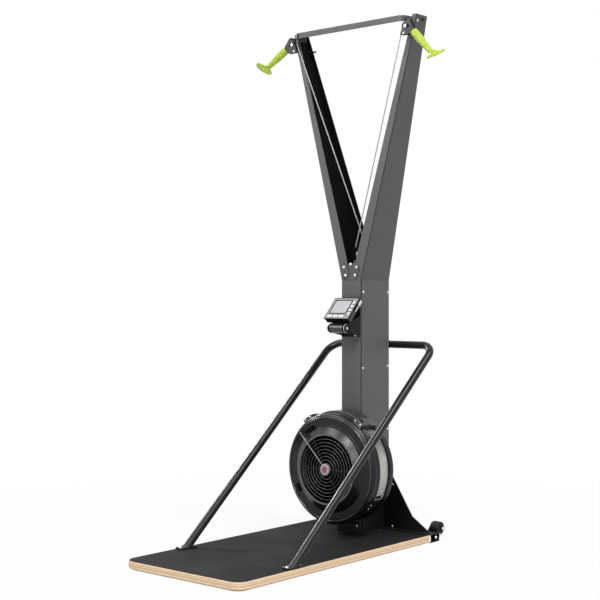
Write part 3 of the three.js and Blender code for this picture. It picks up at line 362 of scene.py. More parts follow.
@dataclass(frozen=True)
class MouldedPlastic(Finish):
    """Moulded plastic with a spark-eroded grain, and paler edges, partly rubbed wear and partly
    painted highlight.
    """

    grain: float = 0.00018
    shine: float = 0.4
    edge_wear_and_highlight: float = 1.9

    def make(self) -> bpy.types.Material:
        """Write the material."""
        desk = NodeDesk(self.name)
        patch = desk.cloud(7.0, 3.0)
        colour = desk.mixed(patch, self.tint(0.9), self.tint(1.12))
        # Paler edges: partly wear, partly painted highlight.
        colour = desk.mixed(desk.edges(0.52, 0.6), colour, self.tint(self.edge_wear_and_highlight))
        desk.relief(desk.cells(1500.0), self.grain, 0.35)
        gloss = desk.span(desk.cloud(30.0, 4.0), 0.3, 0.7, self.roughness - 0.05,
                          self.roughness + 0.06)
        return desk.shade(Base_Color=colour, Roughness=gloss, Specular_IOR_Level=self.shine)


@dataclass(frozen=True)
class Laminate(Finish):
    """Black pressed laminate with a fine anti-slip texture and worn, slightly paler treads."""

    def make(self) -> bpy.types.Material:
        """Write the material."""
        desk = NodeDesk(self.name)
        wear = desk.span(desk.cloud(3.5, 5.0), 0.42, 0.72)
        fleck = desk.span(desk.cloud(700.0, 2.0), 0.62, 0.72, 0.0, 0.5)
        colour = desk.mixed(wear, self.colour, self.tint(1.22))
        colour = desk.mixed(fleck, colour, self.tint(2.2))
        desk.relief(desk.cells(420.0, 0.8), 0.0003, 0.5)
        gloss = desk.span(wear, 0.0, 1.0, self.roughness + 0.06, self.roughness - 0.05)
        return desk.shade(Base_Color=colour, Roughness=gloss, Specular_IOR_Level=0.05)


@dataclass(frozen=True)
class Plywood(Finish):
    """Cut edge of a plywood board: plies, glue lines, pores and a clear lacquer."""

    ply: float = 0.0047
    glue_share: float = 0.72
    seam: float = 0.0188

    def make(self) -> bpy.types.Material:
        """Write the material."""
        desk = NodeDesk(self.name)
        height = desk.math("DIVIDE", desk.axis(2), 2 * self.ply)
        wobble = desk.math("MULTIPLY", desk.cloud(6.0, 2.0), 0.12)
        layer = desk.math("FRACT", desk.math("ADD", height, wobble))
        glue = self.tint(self.glue_share)
        end_grain = self.tint(0.86)
        plies = desk.steps(layer, [(0.0, glue), (0.09, self.colour), (0.46, self.colour),
                                   (0.5, end_grain), (0.9, end_grain), (0.97, glue)])
        streak = desk.cloud(30.0, 4.0, desk.stretched((1.0, 1.0, 30.0)))
        colour = desk.mixed(desk.span(streak, 0.4, 0.7, 0.0, 0.4), plies, self.tint(0.8))
        pores = desk.cells(600.0, 1.0, desk.stretched((0.6, 0.6, 2.0)))
        colour = desk.mixed(desk.span(pores, 0.12, 0.2, 0.5, 0.0), colour, self.tint(0.42))
        from_seam = desk.math("ABSOLUTE", desk.math("SUBTRACT", desk.axis(2), self.seam))
        colour = desk.mixed(desk.span(from_seam, 0.0005, 0.0011, 0.6, 0.0), colour, self.tint(0.3))
        desk.relief(streak, 0.0003, 0.5)
        return desk.shade(Base_Color=colour, Roughness=self.roughness, Specular_IOR_Level=0.35)


@dataclass(frozen=True)
class Rubber(Finish):
    """Black rubber, dull, with a pitted skin and grey dust in its hollows."""

    def make(self) -> bpy.types.Material:
        """Write the material."""
        desk = NodeDesk(self.name)
        dust = desk.span(desk.cloud(40.0, 5.0), 0.45, 0.75, 0.0, 0.5)
        colour = desk.mixed(dust, self.colour, self.tint(2.0))
        desk.relief(desk.cells(700.0), 0.0004, 0.5)
        return desk.shade(Base_Color=colour, Roughness=self.roughness, Specular_IOR_Level=0.25)


@dataclass(frozen=True)
class GripRubber(Finish):
    """Lime soft grip: slightly see-through skin, a fine dimple, some grime, and hollows made darker.
    """

    def make(self) -> bpy.types.Material:
        """Write the material."""
        desk = NodeDesk(self.name)
        grime = desk.span(desk.cloud(45.0, 5.0), 0.5, 0.8, 0.0, 0.25)
        hollow = desk.math("SUBTRACT", 1.0, desk.edges(0.44, 0.5))
        colour = desk.mixed(grime, self.colour, self.tint(0.78))
        # Hollows, found by low pointiness, are made darker.
        colour = desk.mixed(desk.math("MULTIPLY", hollow, 0.5), colour, self.tint(0.5))
        desk.relief(desk.cells(620.0, 0.3), 0.0002, 0.3)
        return desk.shade(Base_Color=colour, Roughness=self.roughness, Specular_IOR_Level=0.4,
                          Subsurface_Weight=0.08, Subsurface_Scale=0.01)


@dataclass(frozen=True)
class Braid(Finish):
    """Round braided cord: two crossing sets of strands, a fleck yarn and a dull nap."""

    strand: float = 0.0021

    def make(self) -> bpy.types.Material:
        """Write the material."""
        desk = NodeDesk(self.name)
        around = desk.math("DIVIDE", desk.axis(0, desk.unrolled), self.strand)
        along = desk.math("DIVIDE", desk.axis(1, desk.unrolled), 1.6 * self.strand)
        left = desk.math("PINGPONG", desk.math("ADD", around, along), 0.5)
        right = desk.math("PINGPONG", desk.math("SUBTRACT", around, along), 0.5)
        weave = desk.math("MULTIPLY", desk.math("MAXIMUM", left, right), 2.0)
        colour = desk.mixed(weave, self.tint(0.7), self.colour)
        colour = desk.mixed(desk.span(desk.cloud(700.0, 2.0), 0.6, 0.7, 0.0, 0.5), colour,
                            self.tint(0.5))
        desk.relief(weave, 0.0005, 0.8)
        return desk.shade(Base_Color=colour, Roughness=self.roughness, Specular_IOR_Level=0.2,
                          Sheen_Weight=0.2, Sheen_Roughness=0.5)


@dataclass(frozen=True)
class BareSteel(Finish):
    """Plated steel: turned or brushed lines, soft stains and brighter edges, partly wear and partly
    painted highlight.
    """

    def make(self) -> bpy.types.Material:
        """Write the material."""
        desk = NodeDesk(self.name)
        stain = desk.cloud(25.0, 5.0)
        lines = desk.cloud(420.0, 3.0, desk.stretched((1.0, 0.08, 1.0)))
        colour = desk.mixed(stain, self.tint(0.8), self.colour)
        # Brighter edges: partly wear, partly painted highlight.
        colour = desk.mixed(desk.edges(0.51, 0.56), colour, self.tint(1.25))
        desk.relief(lines, 0.00008, 0.5)
        gloss = desk.span(stain, 0.3, 0.7, self.roughness + 0.08, self.roughness - 0.04)
        return desk.shade(Base_Color=colour, Roughness=gloss, Metallic=0.9)


@dataclass(frozen=True)
class WireMesh(Finish):
    """Perforated sheet: a grid of round holes, painted dark as the drum's shaded inside, in bright
    metal with painted shade darkening its top.
    """

    pitch: float = 0.0042
    shade_from: float = 0.37
    shade_to: float = 0.455

    def make(self) -> bpy.types.Material:
        """Write the material."""
        desk = NodeDesk(self.name)
        grid = desk.cells(1 / self.pitch, 0.0, desk.unrolled)
        # Painted shade: the holes are coloured dark for the drum's shaded inside.
        hole = desk.span(grid, 0.27, 0.34, 1.0, 0.0)
        stain = desk.cloud(18.0, 4.0)
        sheet = desk.mixed(stain, self.tint(0.88), self.tint(1.1))
        # Painted shade: the sheet darkens towards its top.
        sheet = desk.mixed(desk.span(desk.axis(2), self.shade_from, self.shade_to, 0.0, 0.85), sheet,
                           self.tint(0.16))
        colour = desk.mixed(hole, sheet, self.tint(0.12))
        desk.relief(desk.math("SUBTRACT", 1.0, hole), 0.001, 0.9)
        gloss = desk.span(hole, 0.0, 1.0, self.roughness, 0.9)
        metal = desk.span(hole, 0.0, 1.0, 0.35, 0.0)
        return desk.shade(Base_Color=colour, Roughness=gloss, Metallic=metal)


@dataclass(frozen=True)
class Display(Finish):
    """Switched-off liquid crystal display: a fine dot grid behind a faintly tinted pane."""

    def make(self) -> bpy.types.Material:
        """Write the material."""
        desk = NodeDesk(self.name)
        dots = desk.span(desk.cells(900.0, 0.0), 0.3, 0.45, 1.0, 0.0)
        haze = desk.cloud(14.0, 2.0)
        colour = desk.mixed(haze, self.tint(0.93), self.tint(1.06))
        colour = desk.mixed(desk.math("MULTIPLY", dots, 0.16), colour, self.tint(0.6))
        return desk.shade(Base_Color=colour, Roughness=self.roughness, Coat_Weight=0.3,
                          Coat_Roughness=0.08)


@dataclass(frozen=True)
class Enamel(Finish):
    """Glossy badge of plain rings: a rim, a pale ring and a coloured middle."""

    middle: Triple = (0.4, 0.1, 0.12)
    middle_share: float = 0.58
    centre: Pair = (0.0, 0.313)
    radius: float = 0.024

    def make(self) -> bpy.types.Material:
        """Write the material."""
        desk = NodeDesk(self.name)
        across = desk.math("SUBTRACT", desk.axis(0), self.centre[0])
        up = desk.math("SUBTRACT", desk.axis(2), self.centre[1])
        squares = desk.math("ADD", desk.math("MULTIPLY", across, across),
                            desk.math("MULTIPLY", up, up))
        reach = desk.math("DIVIDE", desk.math("SQRT", squares), self.radius)
        rings = desk.steps(reach, [(0.0, self.middle), (self.middle_share, self.colour),
                                   (0.78, self.tint(0.4)), (0.86, self.tint(0.8))], hard=True)
        colour = desk.mixed(desk.cloud(150.0, 3.0), rings, self.tint(0.8), "MULTIPLY")
        return desk.shade(Base_Color=desk.mixed(desk.span(desk.cloud(90.0), 0.4, 0.6, 0.0, 0.2),
                                                rings, colour), Roughness=self.roughness,
                          Coat_Weight=0.4, Coat_Roughness=0.1)


POLISHED = 0.00001
SATIN = 0.00003

GREY_POWDER = PowderCoat("grey powder coat", "powder", tone(84, 84, 86), 0.5)
# Painted shade: near black for the shade inside the arms' channels.
ARM_INSIDE_SHADE = PowderCoat("painted shade inside the arms", "powder", tone(14, 13, 15), 0.75,
                        edge_wear_and_highlight=1.2, shine=0.05)
BLACK_POWDER = PowderCoat("black powder coat", "blackSteel", tone(26, 25, 26), 0.5, shine=0.15)
BLOCK_POWDER = PowderCoat("satin black powder coat", "blackSteel", tone(36, 36, 38), 0.4)
TUBE_PAINT = GlossPaint("black tube paint", "blackSteel", tone(12, 12, 14), 0.3)
# The cover's edges are paled strongly, mostly as painted highlight.
COVER_PLASTIC = MouldedPlastic("black cover plastic", "blackPlastic", tone(22, 22, 24), 0.26,
                               grain=POLISHED, shine=0.28, edge_wear_and_highlight=3.0)
# Painted highlight: the rings' grey stands partly for the shine along them.
RING_HIGHLIGHT_PLASTIC = MouldedPlastic("grey ring plastic, partly painted highlight", "blackPlastic", tone(72, 72, 75), 0.3,
                              grain=SATIN, shine=0.6)
# Painted highlight: the grey stands for the shine along the cover's inner lip.
LIP_HIGHLIGHT_PLASTIC = MouldedPlastic("painted highlight lip plastic", "blackPlastic", tone(92, 92, 96), 0.26,
                             grain=SATIN, shine=0.6)
BEAD_PLASTIC = MouldedPlastic("black bead plastic", "blackPlastic", tone(34, 34, 36), 0.14,
                              grain=POLISHED, shine=1.0)
# Painted sheen: lighter than the cover's plastic, partly for the reflection on the saddle's top.
SADDLE_SHEEN_PLASTIC = MouldedPlastic("black saddle plastic with painted sheen", "blackPlastic", tone(40, 40, 42), 0.3,
                                grain=POLISHED, shine=0.7)
# Black plastic; on the fan wheel and the latch slots its near black also stands as painted shade.
BLACK_AND_SHADE_PLASTIC = MouldedPlastic("black plastic and painted shade", "blackPlastic", tone(7, 7, 8), 0.7,
                               shine=0.05)
BARREL_PLASTIC = MouldedPlastic("black barrel plastic", "blackPlastic", tone(36, 36, 38), 0.2,
                                grain=SATIN, shine=0.6)
# Grey plastic whose paleness stands partly as painted highlight.
GREY_HIGHLIGHT_PLASTIC = MouldedPlastic("grey plastic, partly painted highlight", "blackPlastic", tone(138, 138, 142), 0.25,
                               grain=SATIN, shine=0.5)
SPOOL_PLASTIC = MouldedPlastic("grey spool plastic", "greyPlastic", tone(150, 152, 156), 0.45)
CASE_PLASTIC = MouldedPlastic("dark grey case plastic", "blackPlastic", tone(84, 84, 87), 0.42)
FACE_PLASTIC = MouldedPlastic("silver grey face plastic", "blackPlastic", tone(150, 150, 153), 0.38)
DECK_LAMINATE = Laminate("black deck laminate", "laminate", tone(33, 33, 34), 0.62)
DECK_PLYWOOD = Plywood("plywood edge", "plywood", tone(252, 220, 182), 0.5)
PALE_PLYWOOD = Plywood("pale end grain", "plywood", tone(250, 218, 186), 0.5)
FLOOR_RUBBER = Rubber("black rubber", "rubber", tone(22, 22, 23), 0.85)
WHEEL_RUBBER = Rubber("black wheel rubber", "rubber", tone(20, 20, 21), 0.6)
LIME_GRIP = GripRubber("lime grip rubber", "lime", tone(190, 219, 60), 0.45)
CORD_BRAID = Braid("light grey braid", "cord", tone(246, 246, 248), 0.8)
PLATED_STEEL = BareSteel("plated steel", "steel", tone(214, 215, 218), 0.3)
# Painted shadow: dark strips laid where gaps and corners are in shade.
SHADOW_LINE = Rubber("painted shadow line", "powder", tone(20, 20, 21), 0.8)
PALE_SHOE = MouldedPlastic("pale end shoe plastic", "plywood", tone(240, 236, 234), 0.5)
# Painted highlight: pale strips and rings where shine falls on the monitor.
HIGHLIGHT_TRIM = MouldedPlastic("painted highlight trim plastic", "blackPlastic", tone(222, 222, 224), 0.35)
DRUM_MESH = WireMesh("drum mesh", "meshMetal", tone(226, 226, 220), 0.5)
SCREEN_GLASS = Display("display", "screen", tone(206, 201, 206), 0.3)
KEY_PLASTIC = MouldedPlastic("white key plastic", "key", tone(236, 236, 238), 0.4)
BADGE_ENAMEL = Enamel("badge enamel", "badge", tone(212, 204, 210), 0.3, middle=tone(178, 84, 102))


@functools.cache
def material_of(finish: Finish) -> bpy.types.Material:
    """The material of a finish, written once."""
    return finish.make()


class Solid:
    """Closed shells gathered in one mesh, in the row's frame."""

    def __init__(self) -> None:
        """Start with an empty mesh that keeps unrolled coordinates in metres."""
        self.bm = bmesh.new()
        self.unrolled = self.bm.loops.layers.uv.new("unrolled")

    @classmethod
    def of_node(cls, node: str) -> "Solid":
        """A node's own shape with its flat faces whole again, ready to have its edges eased.

        Args:
            node: The CAD node's name.

        Returns:
            The solid.
        """
        solid = cls()
        solid.bm.from_mesh(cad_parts[node].data)
        bmesh.ops.remove_doubles(solid.bm, verts=solid.bm.verts, dist=WELD_GAP)
        bmesh.ops.dissolve_limit(solid.bm, angle_limit=math.radians(FLAT_ANGLE),
                                 verts=solid.bm.verts, edges=solid.bm.edges,
                                 use_dissolve_boundaries=False)
        return solid

    def bar(self, first: Sequence[Triple], second: Sequence[Triple]) -> "Solid":
        """Add a straight bar between two ends with as many corners each."""
        ends = [[self.bm.verts.new(corner) for corner in corners] for corners in (first, second)]
        self.close(*ends)
        self.bridge(*ends)
        return self

    def plate(self, outline: Sequence[Pair], plane: Plane, low: float, high: float) -> "Solid":
        """Add an outline given thickness.

        Args:
            outline: The corners in order.
            plane: The plane that they are drawn on.
            low: Where the thickness starts.
            high: Where it ends.

        Returns:
            The solid itself.
        """
        return self.bar(*([plane.point(*corner, depth) for corner in outline] for depth in (low,
                                                                                            high)))

    def block(self, low: Triple, high: Triple) -> "Solid":
        """Add a block between two corners."""
        return self.plate(rectangle(low[:2], high[:2]), Plane.TOP, low[2], high[2])

    def close(self, first: Sequence[Vert], last: Sequence[Vert]) -> None:
        """Close both ends of a shell."""
        self.bm.faces.new(first)
        self.bm.faces.new(reversed(last))

    def bridge(self, first: Sequence[Vert], second: Sequence[Vert],
               closed: bool = True) -> list[bmesh.types.BMFace]:
        """Join two rings of points with faces.

        Args:
            first: One ring.
            second: The other, with as many points.
            closed: Whether each ring's end joins its start.

        Returns:
            The new faces.
        """
        count = len(first)
        faces = []
        for index in range(count if closed else count - 1):
            after = (index + 1) % count
            corners = [first[index], first[after], second[after], second[index]]
            corners = [corner
                       for place, corner in enumerate(corners) if corner not in corners[:place]]
            if len(corners) > 2:
                faces.append(self.bm.faces.new(corners))
        return faces

    def ring(self, middle: Vector, across: Vector, up: Vector, radius: float,
             angles: Iterable[float]) -> list[Vert]:
        """Add points round a middle, one at each angle from across towards up."""
        spokes = (across * math.cos(angle) + up * math.sin(angle) for angle in angles)
        return [self.bm.verts.new(middle + spoke * radius) for spoke in spokes]

    def rings(self, sections: Sequence[tuple[Vector, Vector, float]],
              sides: int) -> list[list[Vert]]:
        """Add a ring of points for each section, without twist from one to the next.

        Args:
            sections: Middle, facing and radius of each ring.
            sides: How many points each ring has.

        Returns:
            The rings.
        """
        angles = [TURN * side / sides for side in range(sides)]
        across = sections[0][1].orthogonal().normalized()
        rings = []
        for middle, facing, radius in sections:
            across = (across - facing * across.dot(facing)).normalized()
            rings.append(self.ring(middle, across, facing.cross(across), radius, angles))
        return rings

    def revolve(self, profile: Sequence[Pair], centre: Triple, axis: Vector = ALONG_Y,
                steps: int = 96, start: float = 0.0, sweep: float = TURN,
                loop: bool = False) -> "Solid":
        """Turn a profile round an axis.

        Args:
            profile: Radius and place along the axis of each corner.
            centre: A point on the axis, from which those places are counted.
            axis: The axis.
            steps: How many steps the turn takes.
            start: The angle that it starts at.
            sweep: How far it turns.
            loop: Whether the profile's end joins its start.

        Returns:
            The solid itself.
        """
        across = ALONG_Y if abs(axis.x) > 0.9 else ALONG_X
        across = (across - axis * across.dot(axis)).normalized()
        up = across.cross(axis) if abs(axis.y) > 0.9 else axis.cross(across)
        whole = abs(sweep - TURN) < 1e-6
        angles = [start + sweep * step / steps for step in range(steps if whole else steps + 1)]
        rings = []
        for radius, along in profile:
            foot = Vector(centre) + axis * along
            if radius < 1e-7:
                rings.append([self.bm.verts.new(foot)] * len(angles))
            else:
                rings.append(self.ring(foot, across, up, radius, angles))
        pairs = list(zip(range(len(rings)), range(1, len(rings))))
        if loop:
            pairs.append((len(rings) - 1, 0))
        width = sweep / steps * max(radius for radius, _ in profile)
        run = 0.0
        for first, second in pairs:
            near, run = run, run + math.dist(profile[first], profile[second])
            self.unroll(rings[first], rings[second], width, (near, run), whole)
        if loop and not whole:
            for end in (0, -1):
                self.bm.faces.new([ring[end] for ring in rings])
        return self

    def unroll(self, near_ring: Sequence[Vert], far_ring: Sequence[Vert], width: float, run: Pair,
               closed: bool = True) -> None:
        """Join two rings of a turned or swept shell, and give the faces unrolled coordinates.

        Args:
            near_ring: The ring at the faces' near side.
            far_ring: The ring at their far side.
            width: How wide each face is, round the shell.
            run: Distance along the shell to the near and to the far ring.
            closed: Whether each ring's end joins its start.
        """
        far_set = set(far_ring)
        for step, face in enumerate(self.bridge(near_ring, far_ring, closed)):
            for loop in face.loops:
                is_far = loop.vert in far_set
                ring = far_ring if is_far else near_ring
                beyond = 0 if loop.vert == ring[step] else 1
                loop[self.unrolled].uv = ((step + beyond) * width, run[1] if is_far else run[0])

    def sweep(self, path: Sequence[Vector], radius: float, sides: int) -> "Solid":
        """Carry a circle along a path, without twist, and close both ends.

        Args:
            path: The points of the middle line.
            radius: The circle's radius.
            sides: How many sides the circle has.

        Returns:
            The solid itself.
        """
        ends = zip([path[0], *path], [*path[1:], path[-1]])
        ways = [(after - before).normalized() for before, after in ends]
        rings = self.rings([(point, way, radius) for point, way in zip(path, ways)], sides)
        run = 0.0
        for index in range(len(rings) - 1):
            near, run = run, run + (path[index + 1] - path[index]).length
            self.unroll(rings[index], rings[index + 1], TURN * radius / sides, (near, run))
        self.close(rings[0], rings[-1])
        return self

    def loft(self, sections: Sequence[tuple[Vector, Vector, float]], sides: int = 48) -> "Solid":
        """Join circles that each have a middle, a facing and a radius, and close both ends.

        Args:
            sections: Middle, facing and radius of each circle.
            sides: How many sides each circle has.

        Returns:
            The solid itself.
        """
        rings = self.rings(sections, sides)
        for first, second in zip(rings, rings[1:]):
            self.bridge(first, second)
        self.close(rings[0], rings[-1])
        return self

    def thinned(self, depth: float) -> "Solid":
        """Draw the whole surface in by a depth."""
        self.bm.normal_update()
        for vert in self.bm.verts:
            vert.co -= vert.normal * depth
        return self

    def screw(self, place: Triple, facing: Vector, radius: float, height: float) -> "Solid":
        """Add a button head with a washer under it and a socket in it.

        Args:
            place: Where the head's washer sits.
            facing: The way that the head points.
            radius: The head's radius.
            height: How far the head stands out.

        Returns:
            The solid itself.
        """
        washer = [(0.0, 0.0), (1.25, 0.0), (1.25, 0.18), (1.0, 0.2)]
        head = [(1.0, 0.45), (0.88, 0.78), (0.66, 0.97), (0.48, 1.0), (0.44, 0.94), (0.42, 0.5),
                (0.0, 0.45)]
        profile = [(share * radius, along * height) for share, along in washer + head]
        return self.revolve(profile, place, facing, 24)

    def screws(self, places: Iterable[Triple], facing: Vector, radius: float,
               height: float) -> "Solid":
        """Add a button head at each place."""
        for place in places:
            self.screw(place, facing, radius, height)
        return self

    def joined(self, other: "Solid") -> "Solid":
        """Take over another solid's shells."""
        mesh = bpy.data.meshes.new("shells")
        other.bm.to_mesh(mesh)
        other.bm.free()
        self.bm.from_mesh(mesh)
        bpy.data.meshes.remove(mesh)
        return self

    def moved(self, matrix: Matrix) -> "Solid":
        """Move the whole solid by a matrix."""
        bmesh.ops.transform(self.bm, matrix=matrix, verts=self.bm.verts)
        return self

    def everything(self) -> list:
        """All points, edges and faces."""
        return self.bm.verts[:] + self.bm.edges[:] + self.bm.faces[:]

    def mirrored(self) -> "Solid":
        """Add the mirror image on the other side of the middle plane."""
        copies = bmesh.ops.duplicate(self.bm, geom=self.everything())["geom"]
        for vert in (item for item in copies if isinstance(item, Vert)):
            vert.co.x = -vert.co.x
        faces = [item for item in copies if isinstance(item, bmesh.types.BMFace)]
        bmesh.ops.reverse_faces(self.bm, faces=faces)
        return self

    def cut_below(self, height: float) -> "Solid":
        """Cut away what lies below a height and close the cut."""
        bmesh.ops.bisect_plane(self.bm, geom=self.everything(), plane_co=(0, 0, height),
                               plane_no=ALONG_Z, clear_inner=True)
        open_edges = [edge for edge in self.bm.edges if edge.is_boundary]
        bmesh.ops.holes_fill(self.bm, edges=open_edges, sides=0)
        return self

    def piece(self, name: str, ease: float = 0.0, segments: int = 2,
              sharp: float = SHARP_EDGE) -> bpy.types.Object:
        """Turn the solid into an object, with its sharp edges eased.

        Args:
            name: The piece's name.
            ease: How wide the eased edges are.
            segments: How many faces each eased edge has.
            sharp: The angle in degrees above which an edge is sharp.

        Returns:
            The object.
        """
        bmesh.ops.recalc_face_normals(self.bm, faces=self.bm.faces)
        mesh = bpy.data.meshes.new(name)
        self.bm.to_mesh(mesh)
        self.bm.free()
        mesh.polygons.foreach_set("use_smooth", [True] * len(mesh.polygons))
        mesh.set_sharp_from_angle(angle=math.radians(sharp))
        made = placed(name, mesh)
        if ease:
            bevel = made.modifiers.new("eased edges", "BEVEL")
            bevel.width = ease
            bevel.segments = segments
            bevel.limit_method = "ANGLE"
            bevel.angle_limit = math.radians(sharp)
            bevel.use_clamp_overlap = True
        flats = made.modifiers.new("flat faces stay flat", "WEIGHTED_NORMAL")
        flats.keep_sharp = not ease
        return made


def round_off(before: Vector, here: Vector, after: Vector, radius: float,
              steps: int) -> list[Vector]:
    """The arc that rounds one corner.

    Args:
        before: The corner before it.
        here: The corner.
        after: The corner after it.
        radius: The arc's radius.
        steps: How many steps the arc takes.

    Returns:
        The arc's points.
    """
    back, on = (before - here).normalized(), (after - here).normalized()
    half = back.angle(on) / 2
    turn = math.pi - 2 * half
    middle = here + (back + on).normalized() * radius / math.sin(half)
    first = here + back * radius / math.tan(half) - middle
    last = here + on * radius / math.tan(half) - middle
    ways = [first * math.sin((1 - step / steps) * turn) + last * math.sin(step / steps * turn)
            for step in range(steps + 1)]
    return [middle + way.normalized() * radius for way in ways]


def rounded(corners: Sequence[Pair], radii: Sequence[float], steps: int = 8) -> list[Pair]:
    """Round the corners of an outline.

    Args:
        corners: The corners in order.
        radii: The radius at each corner, 0 for a sharp one.
        steps: How many steps each round takes.

    Returns:
        The outline's points.
    """
    points = []
    for index, (corner, radius) in enumerate(zip(corners, radii)):
        after = corners[(index + 1) % len(corners)]
        three = [Vector(point) for point in (corners[index - 1], corner, after)]
        points += [tuple(point) for point in round_off(*three, radius,
                                                       steps)] if radius else [corner]
    return points


def bent(corners: Sequence[Vector], radius: float, steps: int) -> list[Vector]:
    """Round the inner corners of a path.

    Args:
        corners: The path's corners in order.
        radius: The bend radius.
        steps: How many steps each bend takes.

    Returns:
        The path's points.
    """
    path = [corners[0]]
    for before, here, after in zip(corners, corners[1:], corners[2:]):
        path += round_off(before, here, after, radius, steps)
    return path + [corners[-1]]


class SubAssembly:
    """A group of pieces that one class builds, dresses, fastens to the frame and reports."""

    def dress(self, piece: bpy.types.Object, finish: Finish, stands_for: Sequence[str]) -> None:
        """Give a piece its finish, hide the CAD nodes that it stands for, and report it.

        Args:
            piece: The object, in place.
            finish: Its finish.
            stands_for: The CAD nodes that it stands for.
        """
        piece.data.materials.append(material_of(finish))
        if stands_for:
            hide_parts(*stands_for)
        log.info("%s: %s, %d faces", piece.name, finish.name, len(piece.data.polygons))

    def keep(self, piece: bpy.types.Object, finish: Finish, stands_for: Sequence[str] = (),
             body: str = "frame") -> bpy.types.Object:
        """Dress a piece and fasten it to a body.

        Args:
            piece: The object, in place.
            finish: Its finish.
            stands_for: The CAD nodes that it stands for.
            body: The body that it moves with.

        Returns:
            The piece.
        """
        self.dress(piece, finish, stands_for)
        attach(piece, body)
        return piece

    def eased(self, node: str, finish: Finish, ease: float,
              body: str = "frame") -> bpy.types.Object:
        """Stand a piece with eased edges in for a node whose shape is right.

        Args:
            node: The CAD node's name.
            finish: The piece's finish.
            ease: How wide the eased edges are.
            body: The body that it moves with.

        Returns:
            The piece.
        """
        return self.keep(Solid.of_node(node).piece(f"{node}_shell", ease), finish, (node,), body)

    def repaint(self, piece: bpy.types.Object, finish: Finish, test: FaceTest) -> None:
        """Give the faces that pass a test another finish.

        Args:
            piece: The piece, dressed already.
            finish: The other finish.
            test: Says for a face's middle and facing whether it takes the finish.
        """
        piece.data.materials.append(material_of(finish))
        index = len(piece.data.materials) - 1
        for face in piece.data.polygons:
            if test(face.center, face.normal):
                face.material_index = index

    def build(self) -> None:
        """Build and dress every piece."""
        raise NotImplementedError


@dataclass(frozen=True)
class Lamp:
    """A square lamp, which may show only as a shine on surfaces and light nothing else."""

    name: str
    place: Triple
    size: float
    power: float
    mirrored_only: bool = True


